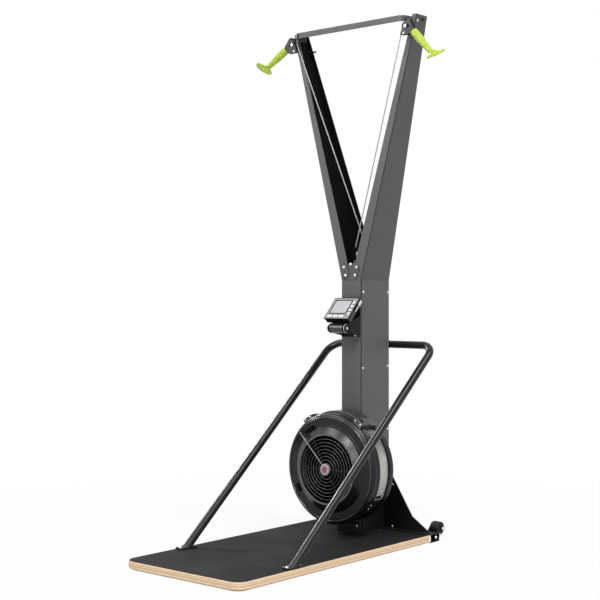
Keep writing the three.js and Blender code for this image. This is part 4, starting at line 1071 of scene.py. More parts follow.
@dataclass
class Studio:
    """Floor, lamps, backdrop and camera."""

    eye: Triple = (3.284, -3.79765, 1.033)
    heading: float = 40.61
    pitch: float = 0.24
    lens: float = 75.36
    sensor: float = 36.0
    sight: float = 60.0
    floor_half: float = 3.6
    floor_depth: float = -0.0005
    floor_tone: float = 0.86
    floor_near: float = 1.0
    floor_far: float = 2.6
    glow_near: float = 0.92
    sky: float = 0.28
    target: Triple = (0.0, 0.2, 0.9)
    lamps: tuple[Lamp, ...] = (
        Lamp("front box", (1.2, -3.4, 4.2), 1.4, 86.0, False),
        Lamp("left fill", (-3.6, -2.4, 2.2), 2.4, 12.0, False),
        Lamp("front shine", (0.1, -4.0, 3.3), 1.3, 90.0),
        Lamp("left shine", (-2.4, -2.9, 3.6), 1.5, 90.0),
        Lamp("right shine", (1.5, -4.4, 1.9), 1.3, 90.0),
        Lamp("front glint", (0.0, -3.8, 3.8), 0.3, 24.0),
        Lamp("left glint", (-3.2, -2.0, 4.4), 0.5, 8.0),
        Lamp("rim glint", (-3.6, 0.9, 2.5), 0.8, 90.0))
    sun_place: Triple = (2.6, 0.0, 5.4)
    sun_target: Triple = (0.0, 0.2, 0.0)
    sun_strength: float = 1.65
    sun_spread: float = 16.0

    def build(self) -> None:
        """Set the camera, the light and the floor."""
        self.aim()
        self.hang_lamps()
        self.paint_world()
        self.lay_floor()

    def aim(self) -> None:
        """Put the camera where the photograph was taken from."""
        lens = bpy.data.cameras.new("camera")
        lens.lens = self.lens
        lens.sensor_width = self.sensor
        lens.clip_end = self.sight
        camera = placed("camera", lens)
        camera.location = self.eye
        camera.rotation_euler = (math.radians(90 - self.pitch), 0.0, math.radians(self.heading))
        bpy.context.scene.camera = camera
        bpy.context.scene.view_settings.view_transform = "Standard"

    def hang(self, light: bpy.types.Light, place: Triple, target: Triple,
             mirrored_only: bool = False) -> None:
        """Hang a lamp.

        Args:
            light: The lamp's light.
            place: Where it hangs.
            target: The point that it faces.
            mirrored_only: Whether it shows only as a shine on surfaces and lights nothing else.
        """
        lamp = placed(light.name, light)
        lamp.location = place
        lamp.rotation_euler = (Vector(target) - Vector(place)).to_track_quat("-Z", "Y").to_euler()
        lamp.visible_camera = False
        lamp.visible_diffuse = not mirrored_only

    def hang_lamps(self) -> None:
        """Hang the lamps, and a broad high light on the right."""
        for lamp in self.lamps:
            box = bpy.data.lights.new(lamp.name, "AREA")
            box.size = lamp.size
            box.energy = lamp.power
            self.hang(box, lamp.place, self.target, lamp.mirrored_only)
        sun = bpy.data.lights.new("high right light", "SUN")
        sun.energy = self.sun_strength
        sun.angle = math.radians(self.sun_spread)
        self.hang(sun, self.sun_place, self.sun_target)

    def paint_world(self) -> None:
        """Make the backdrop white where it is seen or mirrored, and a soft dim light elsewhere."""
        world = bpy.data.worlds.new("white studio")
        bpy.context.scene.world = world
        world.use_nodes = True
        tree = world.node_tree
        tree.nodes.clear()
        dim = add_node(tree, "Background", {"Color": WHITE, "Strength": self.sky})
        white = add_node(tree, "Background", {"Color": WHITE})
        shades = {0: self.seen(tree), 1: dim.outputs[0], 2: white.outputs[0]}
        add_node(tree, "OutputWorld", {"Surface": add_node(tree, "MixShader", shades).outputs[0]})

    def seen(self, tree: bpy.types.NodeTree) -> Socket:
        """Tell rays that see or mirror a surface from those that only carry its light.

        Args:
            tree: The nodes to write in.

        Returns:
            A socket that is 1 for camera, glossy and transmission rays.
        """
        rays = add_node(tree, "LightPath").outputs
        seen = rays["Is Camera Ray"]
        for kind in ("Is Glossy Ray", "Is Transmission Ray"):
            seen = add_node(tree, "Math", {0: seen, 1: rays[kind]}, operation="MAXIMUM").outputs[0]
        return seen

    def lay_floor(self) -> None:
        """Lay a pale floor that keeps the object's shadow and fades into the backdrop."""
        half = self.floor_half
        mesh = bpy.data.meshes.new("floor")
        corners = [(x, y, self.floor_depth) for x, y in rectangle((-half, -half), (half, half))]
        mesh.from_pydata(corners, [], [(0, 1, 2, 3)])
        floor = placed("floor", mesh)
        material = bpy.data.materials.new("pale floor")
        material.use_nodes = True
        tree = material.node_tree
        tree.nodes.clear()
        matte = add_node(tree, "BsdfDiffuse", {"Color": (*[self.floor_tone] * 3, 1.0)})
        glow = add_node(tree, "Emission")
        place = add_node(tree, "TexCoord").outputs["Object"]
        reach = add_node(tree, "VectorMath", {0: place}, operation="LENGTH").outputs["Value"]
        spans = {0: reach, 1: self.floor_near, 2: self.floor_far, 3: self.glow_near, 4: 1.0}
        fade = add_node(tree, "MapRange", spans).outputs[0]
        share = add_node(tree, "Math", {0: fade, 1: self.seen(tree)},
                         operation="MULTIPLY").outputs[0]
        mix = add_node(tree, "MixShader", {0: share, 1: matte.outputs[0], 2: glow.outputs[0]})
        add_node(tree, "OutputMaterial", {"Surface": mix.outputs[0]})
        mesh.materials.append(material)


@dataclass
class Deck(SubAssembly):
    """Rubber underlay, plywood board and laminate top, with the rail behind and its fittings."""

    half_width: float = 0.3
    front: float = -0.64165
    back: float = 0.51635
    board_low: float = 0.005
    board_high: float = 0.033
    top: float = 0.035
    corner: float = 0.05
    underlay_inset: float = 0.012
    top_inset: float = 0.0032
    edge_ease: float = 0.003
    trim_length: float = 0.047
    trim_thickness: float = 0.0006
    shoe_length: float = 0.011
    shoe_thickness: float = 0.0014
    rail_bolt: Triple = (0.3, 0.555, 0.019)

    def outline(self, inset: float) -> list[Pair]:
        """The deck's outline, with its two front corners round."""
        half, radius = self.half_width - inset, self.corner - inset
        corners = rectangle((-half, self.front + inset), (half, self.back - inset))
        return rounded(corners, [radius, radius, 0.0, 0.0], 14)

    def build(self) -> None:
        """Build the deck, its end shoes and the rail."""
        underlay = Solid().plate(self.outline(self.underlay_inset), Plane.TOP, 0.0, self.board_low)
        self.keep(underlay.piece("rubber_underlay", 0.0008), FLOOR_RUBBER, ("deck_underlay",))
        board = Solid().plate(self.outline(0.0), Plane.TOP, self.board_low, self.board_high)
        self.keep(board.piece("plywood_board", self.edge_ease, 3), DECK_PLYWOOD, ("deck_board",))
        top = Solid().plate(self.outline(self.top_inset), Plane.TOP, self.board_high, self.top)
        self.keep(top.piece("laminate_top", 0.0007), DECK_LAMINATE, ("deck_mat",))
        half, seam = self.half_width, self.back - self.shoe_length
        low, high = self.board_low + 0.001, self.board_high - 0.0025
        trim = Solid().block((half, self.back - self.trim_length, low),
                             (half + self.trim_thickness, seam, high))
        self.keep(trim.mirrored().piece("end_trims", 0.0002), PALE_PLYWOOD)
        shoe = Solid().block((half, seam, low), (half + self.shoe_thickness, self.back,
                                                 high + 0.001))
        self.keep(shoe.mirrored().piece("end_shoes", 0.0004), PALE_SHOE)
        self.eased("rear_rail", BLACK_POWDER, 0.0015)
        bolts = Solid().screw(self.rail_bolt, ALONG_X, 0.0055, 0.0035)
        self.keep(bolts.mirrored().piece("rail_end_bolts"), PLATED_STEEL)


@dataclass
class Mast(SubAssembly):
    """Mast frame and covers, the foot in front of it, its gussets, yoke plate and screws."""

    half_width: float = 0.05
    front: float = 0.36335
    gusset_front: float = 0.52335
    deck_top: float = 0.035
    shadow_line_start: float = 0.0026
    shadow_line_width: float = 0.0045
    shadow_line_top: float = 1.0948
    yoke_face: float = 0.36005
    tab_centre: Pair = (-0.0312, 1.1265)
    tab_radius: float = 0.0255
    tab_stretch: float = 0.86
    tab_lean: float = 0.2
    tab_side: float = -0.0494
    tab_inner: float = -0.0205
    tab_foot: float = 1.0962
    tab_top: float = 1.1685
    tab_line: float = 0.0034
    tab_thickness: float = 0.0012
    line_thickness: float = 0.0004
    screw: Pair = (0.0042, 0.0028)
    bolt: Pair = (0.0045, 0.0032)
    side_places: tuple[Pair, ...] = ((0.3836, 1.0445), (0.5552, 1.0422), (0.381, 0.7251),
                                     (0.5539, 0.7261), (0.555, 0.4551), (0.5524, 0.137))
    yoke_places: tuple[Pair, ...] = ((-0.0357, 1.150), (0.0, 1.1618), (0.0308, 1.149),
                                     (-0.026, 1.115), (0.023, 1.115))
    gusset_places: tuple[Pair, ...] = ((0.101, 0.2247), (0.099, 0.0466))
    foot_place: Triple = (0.0473, 0.34305, 0.0654)
    cheek_place: Triple = (0.0543, 0.4513, 0.144)

    def build(self) -> None:
        """Build the mast and what is bolted to its foot and top."""
        for node in ("mast_frame", "mast_front_cover", "mast_rear_cover"):
            self.eased(node, GREY_POWDER, 0.0007)
        self.eased("yoke_plate", GREY_POWDER, 0.0006)
        self.eased("mast_foot", BLACK_POWDER, 0.003)
        self.build_tab()
        for side in SIDES:
            self.eased(f"gusset_{side}", BLACK_POWDER, 0.0009)
        self.keep(self.shadow_lines().piece("mast_shadow_lines"), SHADOW_LINE)
        self.keep(self.side_screws().piece("mast_side_screws"), PLATED_STEEL)
        self.keep(self.yoke_screws().piece("yoke_screws"), PLATED_STEEL)
        self.keep(self.foot_bolts().piece("foot_bolts"), PLATED_STEEL)

    def build_tab(self) -> None:
        """Lay the left arm's round-ended tab over the yoke plate, with a painted shadow line round
        it.
        """
        x, z = self.tab_centre
        under = self.yoke_face - self.line_thickness
        for name, grown, low, high, finish in (
                ("yoke_tab_line", self.tab_line, under, self.yoke_face, SHADOW_LINE),
                ("yoke_tab", 0.0, self.yoke_face - self.tab_thickness, under, GREY_POWDER)):
            radius = self.tab_radius + grown
            corners = [(self.tab_side, self.tab_top)]
            for step in range(17):
                angle = math.pi + math.pi * step / 16 + self.tab_lean
                corners.append((x + radius * math.cos(angle) * self.tab_stretch,
                                z + radius * math.sin(angle)))
            corners.append((self.tab_inner + grown, self.tab_top))
            outline = [(max(self.tab_side, across), max(self.tab_foot, up))
                       for across, up in corners]
            self.keep(Solid().plate(outline, Plane.FRONT, low, high).piece(name, 0.0002), finish)

    def shadow_lines(self) -> Solid:
        """Thin dark strips of painted shadow where the front cover meets the frame's sides."""
        half, near = self.half_width, self.front + self.shadow_line_start
        return Solid().block((half, near, self.deck_top + 0.0005),
                             (half + 0.0003, near + self.shadow_line_width, self.shadow_line_top)).mirrored()

    def side_screws(self) -> Solid:
        """Screws that hold both covers, up both sides of the mast."""
        places = [(self.half_width, *place) for place in self.side_places]
        return Solid().screws(places, ALONG_X, *self.screw).mirrored()

    def yoke_screws(self) -> Solid:
        """The five screws of the plate where the arms meet."""
        places = [(across, self.yoke_face - (self.tab_thickness if across < -0.01 else 0.0),
                   height) for across, height in self.yoke_places]
        return Solid().screws(places, -ALONG_Y, *self.screw)

    def foot_bolts(self) -> Solid:
        """Bolts in the gussets, in their flanges and in the foot in front of the mast."""
        places = [(across, self.gusset_front, height) for across, height in self.gusset_places]
        bolts = Solid().screws([*places, self.foot_place], -ALONG_Y, *self.bolt)
        return bolts.screw(self.cheek_place, ALONG_X, *self.bolt).mirrored()


@dataclass
class Arms(SubAssembly):
    """Both arms of the V, the bar between them and the bolts that hold it."""

    foot: float = 1.0953
    top: float = 2.1733
    foot_reach: float = 0.05
    top_reach: float = 0.327
    front: float = 0.36335
    front_lean: float = 0.012
    shadow_line_start: float = 0.0012
    shadow_line_width: float = 0.004
    shadow_line_height: float = 0.0003
    wall: float = 0.012
    middle: float = 0.42
    bar_shadow_end: float = -0.262
    bolt_places: tuple[Pair, ...] = ((0.3925, 2.1483), (0.4035, 2.1013))
    end_bolt_place: Pair = (0.4235, 2.1563)
    stud_place: Triple = (0.3062, 0.4575, 2.104)
    stud_length: float = 0.038

    def outer(self, height: float) -> float:
        """How far out an arm's outer face is at a height."""
        share = (height - self.foot) / (self.top - self.foot)
        return self.foot_reach + (self.top_reach - self.foot_reach) * share

    def build(self) -> None:
        """Build the arms, with painted shade inside them, then the bar and its bolts."""
        for side, way in SIDES.items():
            arm = self.eased(f"arm_{side}", GREY_POWDER, 0.0008)
            # Painted shade: the arms' inner faces take a near-black coat.
            self.repaint(arm, ARM_INSIDE_SHADE, lambda middle, facing,
                         way=way: self.is_shaded_inside(middle, facing, way))
        bar = self.eased("crossbar", GREY_POWDER, 0.0012)
        # Painted shadow: the bar's left end is painted black where it lies in shade.
        self.repaint(bar, BLACK_POWDER, lambda middle, facing: middle.x < self.bar_shadow_end)
        self.keep(self.shadow_lines().piece("arm_shadow_lines"), SHADOW_LINE)
        slope = Vector((self.top - self.foot, 0.0, self.foot_reach - self.top_reach)).normalized()
        *spots, end = [(self.outer(height), along, height)
                       for along, height in (*self.bolt_places, self.end_bolt_place)]
        bolts = Solid().screws(spots, slope, 0.0045, 0.003).mirrored()
        self.keep(bolts.piece("bar_bolts"), PLATED_STEEL)
        dark = Solid().screw(end, slope, 0.0058, 0.004).mirrored()
        self.keep(dark.piece("bar_end_bolts"), BLACK_POWDER)
        studs = Solid().screw(self.stud_place, -ALONG_X, 0.0040, self.stud_length).mirrored()
        self.keep(studs.piece("stop_studs"), BLACK_POWDER)

    def shadow_lines(self) -> Solid:
        """Thin dark strips of painted shadow up the front corner of each arm's outer face."""
        ends = []
        for share, height in ((0.0, self.foot), (1.0, self.top)):
            reach, near = self.outer(height), self.front + self.front_lean * share + self.shadow_line_start
            corners = rectangle((reach, near), (reach + self.shadow_line_height, near + self.shadow_line_width))
            ends.append([(*corner, height) for corner in corners])
        return Solid().bar(*ends).mirrored()

    def is_shaded_inside(self, middle: Vector, facing: Vector, way: int) -> bool:
        """Whether a face is on the inside of an arm, which takes painted shade.

        Args:
            middle: The face's middle.
            facing: Its facing.
            way: 1 for the right arm and -1 for the left.

        Returns:
            True for the inner side of the outer wall and of both flanges.
        """
        inward = facing.x * way < -0.8
        deep = self.outer(middle.z) - abs(middle.x) < self.wall
        flange_back = facing.y > 0.8 and middle.y < self.middle
        flange_front = facing.y < -0.8 and middle.y > self.middle
        return (inward and deep) or flange_back or flange_front


def grooved(bore: float, rim: float, core: float, half: float, lip: float, slope: float,
            flat: float) -> list[Pair]:
    """The profile of a wheel with a groove for the cord.

    Args:
        bore: The radius of its bore.
        rim: The radius of its rims.
        core: The radius of its groove's floor.
        half: Half its width.
        lip: How far each rim's inner edge is from the middle.
        slope: How far the foot of each flank is from the middle.
        flat: Half the width of the groove's floor.

    Returns:
        Radius and place along the axis of each corner.
    """
    return both_ways([(bore, half), (rim - 0.0006, half), (rim, half - 0.0006), (rim, lip),
                      (core + 0.001, slope), (core, flat)])


@dataclass
class PulleyHead(SubAssembly):
    """One side's pulley block, pulley, axle screw and handle."""

    side: str = "right"
    droop: float = 48.0
    pulley: Triple = (0.303, 0.34235, 2.1183)
    pulley_profile: tuple[float, ...] = (0.0054, 0.022, 0.0163, 0.006, 0.0044, 0.0033, 0.0022)
    cheek_face: float = 0.33235
    axle_face: float = 0.32885
    rise: float = 0.009
    collar_start: float = 0.0403
    grip_start: float = 0.0412
    ribbed: Pair = (0.058, 0.138)
    rib_pitch: float = 0.0095
    rib_depth: float = 0.0005
    neck_end: float = 0.160
    grip_end: float = 0.1907
    foot_radius: float = 0.04
    foot_offset: float = 0.0115
    foot_tilt: float = 40.0
    foot_twist: float = 45.0
    ankle: float = 0.0065
    cord_radius: float = 0.003
    cord_start: float = 0.0353
    cord_stretch: Pair = (0.036, 0.044)

    def __post_init__(self) -> None:
        """Work out the handle's line."""
        way, droop = SIDES[self.side], math.radians(self.droop)
        self.centre = Vector((way * self.pulley[0], self.pulley[1], self.pulley[2]))
        self.along = Vector((way * math.cos(droop), 0.0, -math.sin(droop)))
        self.up = Vector((way * math.sin(droop), 0.0, math.cos(droop)))
        self.start = self.centre + self.up * self.rise
        self.handle_body = f"handle_{self.side}"

    def at(self, distance: float, raised: float = 0.0) -> Vector:
        """A point on the handle's line, or above it."""
        return self.start + self.along * distance + self.up * raised

    def build(self) -> None:
        """Build the block, the pulley, the handle and the cord's end."""
        self.eased(f"pulley_block_{self.side}", BLOCK_POWDER, 0.0006)
        wheel = Solid().revolve(grooved(*self.pulley_profile), self.centre, ALONG_Y, 72, loop=True)
        name = f"top_pulley_{self.side}"
        self.keep(wheel.piece(f"{name}_wheel"), BLACK_AND_SHADE_PLASTIC, (name,), name)
        self.build_screws()
        self.build_grip()
        self.build_cord_end()

    def build_screws(self) -> None:
        """Put a socket screw on the axle's head and nuts on the two pins."""
        x, _, z = self.centre
        way = SIDES[self.side]
        screws = Solid().screw((x, self.axle_face, z), -ALONG_Y, 0.0048, 0.003)
        screws.screw((x - way * 0.0097, self.cheek_face, z - 0.027), -ALONG_Y, 0.003, 0.0022)
        self.keep(screws.piece(f"block_screws_{self.side}"), PLATED_STEEL)
        pins = Solid().screw((x + way * 0.002, self.cheek_face, z + 0.027),
                             -ALONG_Y, 0.0034, 0.0022)
        pins.screw((x + way * 0.0125, self.cheek_face, z), -ALONG_Y, 0.0046, 0.0012)
        self.keep(pins.piece(f"block_pins_{self.side}"), BLACK_AND_SHADE_PLASTIC)

    def build_grip(self) -> None:
        """Loft the grip from its top, down its waist and out into the slanted foot."""
        shape = [(self.grip_start, 0.0142), (self.grip_start + 0.0008, 0.0154), (0.046, 0.0160),
                 (0.060, 0.0166), (0.075, 0.0168), (0.090, 0.0163), (0.110, 0.0149),
                 (0.130, 0.0132), (0.145, 0.0119), (self.neck_end, 0.0108)]
        sections = []
        count = 120
        for step in range(count + 1):
            run = self.grip_start + (self.neck_end - self.grip_start) * step / count
            index = max(i for i, (place, _) in enumerate(shape) if place <= run + 1e-9)
            after = min(index + 1, len(shape) - 1)
            gap = shape[after][0] - shape[index][0]
            share = (run - shape[index][0]) / gap if gap else 0.0
            radius = shape[index][1] + (shape[after][1] - shape[index][1]) * share
            if self.ribbed[0] < run < self.ribbed[1]:
                radius -= self.rib_depth * max(0.0, math.cos(TURN * run / self.rib_pitch)) ** 6
            sections.append((self.at(run), self.along, radius))
        tilt, twist = math.radians(self.foot_tilt), math.radians(self.foot_twist)
        aside = ALONG_Y * math.sin(twist) * SIDES[self.side] - self.up * math.cos(twist)
        normal = self.along * math.cos(tilt) + aside * math.sin(tilt)
        centre = self.at(self.grip_end, self.foot_offset)
        neck, ankle = self.at(self.neck_end), centre - normal * self.ankle
        for step in range(1, 13):
            share = step / 12
            facing = self.along * math.cos(tilt * share) + aside * math.sin(tilt * share)
            bend = self.along * (0.006 * share * (1 - share))
            sections.append((neck.lerp(ankle, share) + bend, facing,
                             0.0108 + 0.009 * share * share))
        rim = self.foot_radius
        for back, radius in ((-0.0058, 0.0212), (-0.0051, 0.0234), (-0.0044, 0.0268),
                             (-0.0037, 0.0312), (-0.003, 0.0362), (-0.0024, rim - 0.0012),
                             (-0.0016, rim - 0.0002), (0.0008, rim), (0.0019, rim - 0.0008),
                             (0.0025, rim - 0.0024), (0.0025, rim * 0.5), (0.0025, 0.004)):
            sections.append((centre + normal * back, normal, radius))
        name = f"handle_grip_{self.side}"
        grip = Solid().loft(sections).piece(f"{name}_rubber", sharp=50.0)
        self.keep(grip, LIME_GRIP, (name,), self.handle_body)
        profile = [(0.0036, 0.0), (0.0094, 0.0), (0.0098, 0.0004), (0.0098, 0.0008),
                   (0.0036, 0.0008)]
        collar = Solid().revolve(profile, self.at(self.collar_start), self.along, 48, loop=True)
        self.keep(collar.piece(f"grip_collar_{self.side}"), BLACK_AND_SHADE_PLASTIC, (), self.handle_body)

    def build_cord_end(self) -> None:
        """Run the cord's end from the nozzle into the grip."""
        path = [self.at(self.cord_start + 0.0005 * step) for step in range(54)]
        node = f"handle_cord_{self.side}"
        cord = Solid().sweep(path, self.cord_radius, 20).piece(f"{node}_braid")
        self.dress(cord, CORD_BRAID, (node,))
        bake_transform(cord)


@dataclass
class CordDrive(SubAssembly):
    """Drive cords, guide pulleys, shaft, bearings, spools and spring cartridges."""

    lanes: tuple[tuple[str, float], ...] = (("right", 0.42435), ("left", 0.44435))
    guide_height: float = 1.205
    shaft_height: float = 0.313
    guide_radius: float = 0.034
    guide_bore: float = 0.0084
    spool_radius: float = 0.040
    spool_bore: float = 0.0089
    groove: tuple[float, ...] = (0.027, 0.0095, 0.0068, 0.0042, 0.0033)
    cord_excess: float = 0.0006

    def build(self) -> None:
        """Build the moving parts inside the mast and the cords up to the blocks."""
        self.eased("guide_bracket", PLATED_STEEL, 0.0005)
        self.eased("drive_shaft", PLATED_STEEL, 0.0006, "flywheel")
        for node in ("front_bearing", "rear_bearing"):
            self.eased(node, PLATED_STEEL, 0.0005)
        for side, lane in self.lanes:
            for kind, height, rim, bore, finish in (
                    ("guide_pulley", self.guide_height, self.guide_radius, self.guide_bore,
                     BLACK_AND_SHADE_PLASTIC),
                    ("cord_spool", self.shaft_height, self.spool_radius, self.spool_bore,
                     SPOOL_PLASTIC)):
                node, profile = f"{kind}_{side}", grooved(bore, rim, *self.groove)
                wheel = Solid().revolve(profile, (0.0, lane, height), ALONG_Y, 72, loop=True)
                self.keep(wheel.piece(f"{node}_wheel"), finish, (node,), node)
            self.eased(f"recoil_cartridge_{side}", BLACK_AND_SHADE_PLASTIC, 0.0006)
            node = f"drive_cord_{side}"
            cord = Solid.of_node(node).thinned(self.cord_excess).piece(f"{node}_braid", sharp=80.0)
            self.keep(cord, CORD_BRAID, (node,))


@dataclass
class Fan(SubAssembly):
    """Air brake: cover, ring grille, lever, badge, drum with mesh windows and the wheel inside."""

    height: float = 0.313
    cover_radius: float = 0.23
    shell: float = 0.0025
    face: float = 0.22035
    cover_back: float = 0.26435
    bevel_outer: Pair = (0.172, 0.21135)
    bevel_inner: Pair = (0.146, 0.19535)
    dish_radius: float = 0.178
    drum_radius: float = 0.22
    rib_radius: float = 0.2272
    drum_inner: float = 0.216
    bead: Triple = (0.2145, 0.22015, 0.0023)
    ring_count: int = 7
    ring_radii: Pair = (0.0395, 0.1253)
    ring_width: float = 0.0026
    spoke_count: int = 6
    grille_plane: float = 0.1979
    lever_angle: float = 134.0
    stop_angles: Pair = (121.5, 209.0)
    stop_sweep: float = 10.0
    window: Pair = (-35.0, 49.0)
    mesh_foot: float = -25.0
    mesh_gap: float = 0.0015
    edge_radius: float = 0.014
    saddle: Pair = (50.0, 130.0)
    latch_sweep: float = 12.0
    latch_face: float = 0.23835
    latch_bolt_reach: float = 0.2395
    rear_rib_count: int = 12
    blade_count: int = 12
    blade_reach: Pair = (0.029, 0.193)
    blade_half: float = 0.0013
    blade_lean: float = 0.12

    def turned(self, profile: Sequence[Pair], steps: int = 160, start: float = 0.0,
               sweep: float = TURN, into: Solid | None = None) -> Solid:
        """Turn a closed profile round the fan's axis, in a new solid or a given one."""
        centre = (0.0, 0.0, self.height)
        return (into or Solid()).revolve(profile, centre, ALONG_Y, steps, start, sweep, loop=True)

    def capped(self, profile: Sequence[Pair], steps: int, into: Solid) -> Solid:
        """Turn a profile that starts and ends on the fan's axis."""
        return into.revolve(profile, (0.0, 0.0, self.height), ALONG_Y, steps)

    def turn(self, angle: float) -> Matrix:
        """The matrix from a frame on the fan's axis to the same frame turned by an angle."""
        return Matrix.Translation((0.0, 0.0, self.height)) @ Matrix.Rotation(-angle, 4, "Y")

    def build(self) -> None:
        """Build the fan from front to back."""
        self.build_cover()
        self.build_grille()
        self.build_lever()
        self.build_drum()
        self.build_latches()
        self.build_rear()
        self.build_wheel()

    def build_cover(self) -> None:
        """Turn the front cover: rim, face, raised bevel ring and inner lip, the lip painted grey as
        a highlight.
        """
        r, y, t, bow = self.cover_radius, self.face, self.shell, self.edge_radius
        back, dish = self.cover_back, self.dish_radius
        (inner, near), (outer, far) = self.bevel_inner, self.bevel_outer
        profile = [(r - 0.0006, back), (r, back - 0.0006), (r, 0.2592), (r - 0.0018, 0.2580),
                   (r - 0.0018, 0.2545), (r, 0.2533), (r, 0.2488), (r - 0.0018, 0.2476),
                   (r - 0.0018, 0.2441), (r, 0.2429)]
        for step in range(11):
            angle = math.pi / 2 * step / 10
            profile.append((r - bow + bow * math.cos(angle), y + bow - bow * math.sin(angle)))
        profile += [(r - 0.0165, y), (r - 0.0172, y + 0.0008), (r - 0.0192, y + 0.0008),
                    (r - 0.02, y), (dish + 0.0025, y), (dish + 0.0006, y - 0.0008),
                    (outer + 0.001, far + 0.0008), (outer, far - 0.0004),
                    (inner + 0.0022, near + 0.0008), (inner + 0.0010, near + 0.0002),
                    (inner, near + 0.0006), (inner, near + 0.0042), (inner + 0.0024, near + 0.0046),
                    (outer - t, far + t), (dish, y + t), (r - bow - 0.0005, y + t),
                    (r - t, y + bow + 0.0006), (r - t, back)]
        stop = [(0.1735, y - 0.0002), (0.1735, y - 0.006), (0.177, y - 0.0085), (0.191, y - 0.0085),
                (0.196, y - 0.006), (0.196, y - 0.0002)]
        stops = Solid()
        for angle in self.stop_angles:
            start = math.radians(angle - self.stop_sweep / 2)
            self.turned(stop, 10, start, math.radians(self.stop_sweep), stops)
        lip = [(inner - 0.0007, near - 0.0008), (inner + 0.0006, near - 0.0006),
               (inner + 0.0008, near + 0.0006), (inner - 0.0007, near + 0.0006)]
        cover = self.turned(profile).piece("fan_front_shell", 0.0004)
        self.keep(cover, COVER_PLASTIC, ("fan_front_cover",))
        self.keep(stops.piece("lever_stops", 0.0004), BLACK_AND_SHADE_PLASTIC)
        self.keep(self.turned(wire(*self.bead, 12)).piece("cover_bead"), BEAD_PLASTIC)
        self.keep(self.turned(lip).piece("inner_lip_highlight", 0.0003), LIP_HIGHLIGHT_PLASTIC)

    def build_grille(self) -> None:
        """Make the grille of thin rings on six spokes round a hub."""
        grille = Solid()
        (first, last), plane = self.ring_radii, self.grille_plane
        for index in range(self.ring_count):
            radius = first + (last - first) * index / (self.ring_count - 1)
            self.turned(wire(radius, plane, self.ring_width / 2, 8), 112, into=grille)
        rim = [(0.1395, plane - 0.0016), (0.1457, plane - 0.0024), (0.1457, plane + 0.0024),
               (0.1395, plane + 0.0016)]
        self.turned(rim, 128, into=grille)
        hub = [(0.0, 0.19035), (0.0106, 0.19035), (0.011, 0.1908), (0.011, plane - 0.003),
               (0.022, plane - 0.003), (0.0248, plane - 0.0015), (0.0248, plane + 0.0024),
               (0.0, plane + 0.0024)]
        self.capped(hub, 64, grille)
        # Painted highlight: the rings are grey partly for the shine along them.
        self.keep(grille.piece("fan_ring_grille", sharp=50.0), RING_HIGHLIGHT_PLASTIC, ("fan_grille",))
        spokes = Solid()
        for index in range(self.spoke_count):
            spoke = Solid().block((0.02, plane + 0.0008, -0.0012), (0.143, plane + 0.0034, 0.0012))
            spokes.joined(spoke.moved(self.turn(TURN * index / self.spoke_count)))
        self.keep(spokes.piece("grille_spokes", 0.0003), COVER_PLASTIC)

    def build_lever(self) -> None:
        """Make the damper lever, its finger tab, and the badge over its hub."""
        tab = Solid()
        for near, small, low, high in ((0.196, 0.0015, 0.19265, 0.2115),
                                       (0.184, 0.004, 0.1926, 0.1952)):
            outline = rounded(rectangle((near, -0.0085), (0.2032, 0.0085)),
                              [small, 0.003, 0.003, small], 5)
            tab.plate(outline, Plane.FRONT, low, high)
        place = self.turn(math.radians(self.lever_angle))
        lever = Solid().block((0.017, 0.1920, -0.0015), (0.2026, 0.19505, 0.0015)).moved(place)
        hub = [(0.0113, 0.19245), (0.0186, 0.19245), (0.019, 0.1929), (0.019, 0.19505),
               (0.0113, 0.19505)]
        self.turned(hub, 64, into=lever)
        # Painted highlight: the lever is pale grey partly for the bright line of shine along it.
        self.keep(lever.piece("damper_lever_arm", 0.0005), GREY_HIGHLIGHT_PLASTIC, ("damper_lever",),
                  "damper")
        self.keep(tab.moved(place).piece("damper_lever_tab", 0.0005), COVER_PLASTIC, (), "damper")
        badge = [(0.0, 0.18655), (0.012, 0.18668), (0.0195, 0.1869), (0.0202, 0.18665),
                 (0.0212, 0.1866), (0.0225, 0.1867), (0.0236, 0.1872), (0.024, 0.1882),
                 (0.024, 0.1898), (0.0237, 0.19005), (0.0, 0.19005)]
        self.keep(self.capped(badge, 96, Solid()).piece("badge_disc"), BADGE_ENAMEL, ("badge_cap",))

    def build_drum(self) -> None:
        """Turn the drum with its ribs, leave its two windows open, and fill them with mesh."""
        outer, inner, rib = self.drum_radius, self.drum_inner, self.rib_radius
        front = [(inner, 0.24135), (outer, 0.24135), (outer, 0.2611), (rib, 0.26135),
                 (rib, 0.26735), (outer, 0.2676), (outer, 0.27035), (inner, 0.27035)]
        back = [(inner, 0.32735), (outer, 0.32735), (outer, 0.3301), (rib, 0.33035), (rib, 0.33535),
                (rib - 0.0015, 0.3356), (rib - 0.0015, 0.3371), (rib, 0.33735), (rib, 0.34235),
                (inner, 0.34235)]
        drum = self.turned(back, into=self.turned(front))
        low, high, foot = (math.radians(angle) for angle in (*self.window, self.mesh_foot))
        wall = rectangle((inner, 0.27), (outer, 0.3277))
        for steps, start, sweep in ((72, high, math.pi - 2 * high),
                                    (72, math.pi - low, math.pi + 2 * low), (10, low, foot - low),
                                    (10, math.pi - foot, foot - low)):
            self.turned(wall, steps, start, sweep, drum)
        self.keep(drum.piece("fan_drum_shell", 0.0005), COVER_PLASTIC, ("fan_drum",))
        band, gap = rectangle((0.2177, 0.2706), (0.2197, 0.3271)), self.mesh_gap
        for side, start in (("right", foot + gap), ("left", math.pi - high + gap)):
            node, mesh = f"mesh_band_{side}", self.turned(band, 48, start, high - foot - 2 * gap)
            self.keep(mesh.piece(f"{node}_sheet"), DRUM_MESH, (node,))

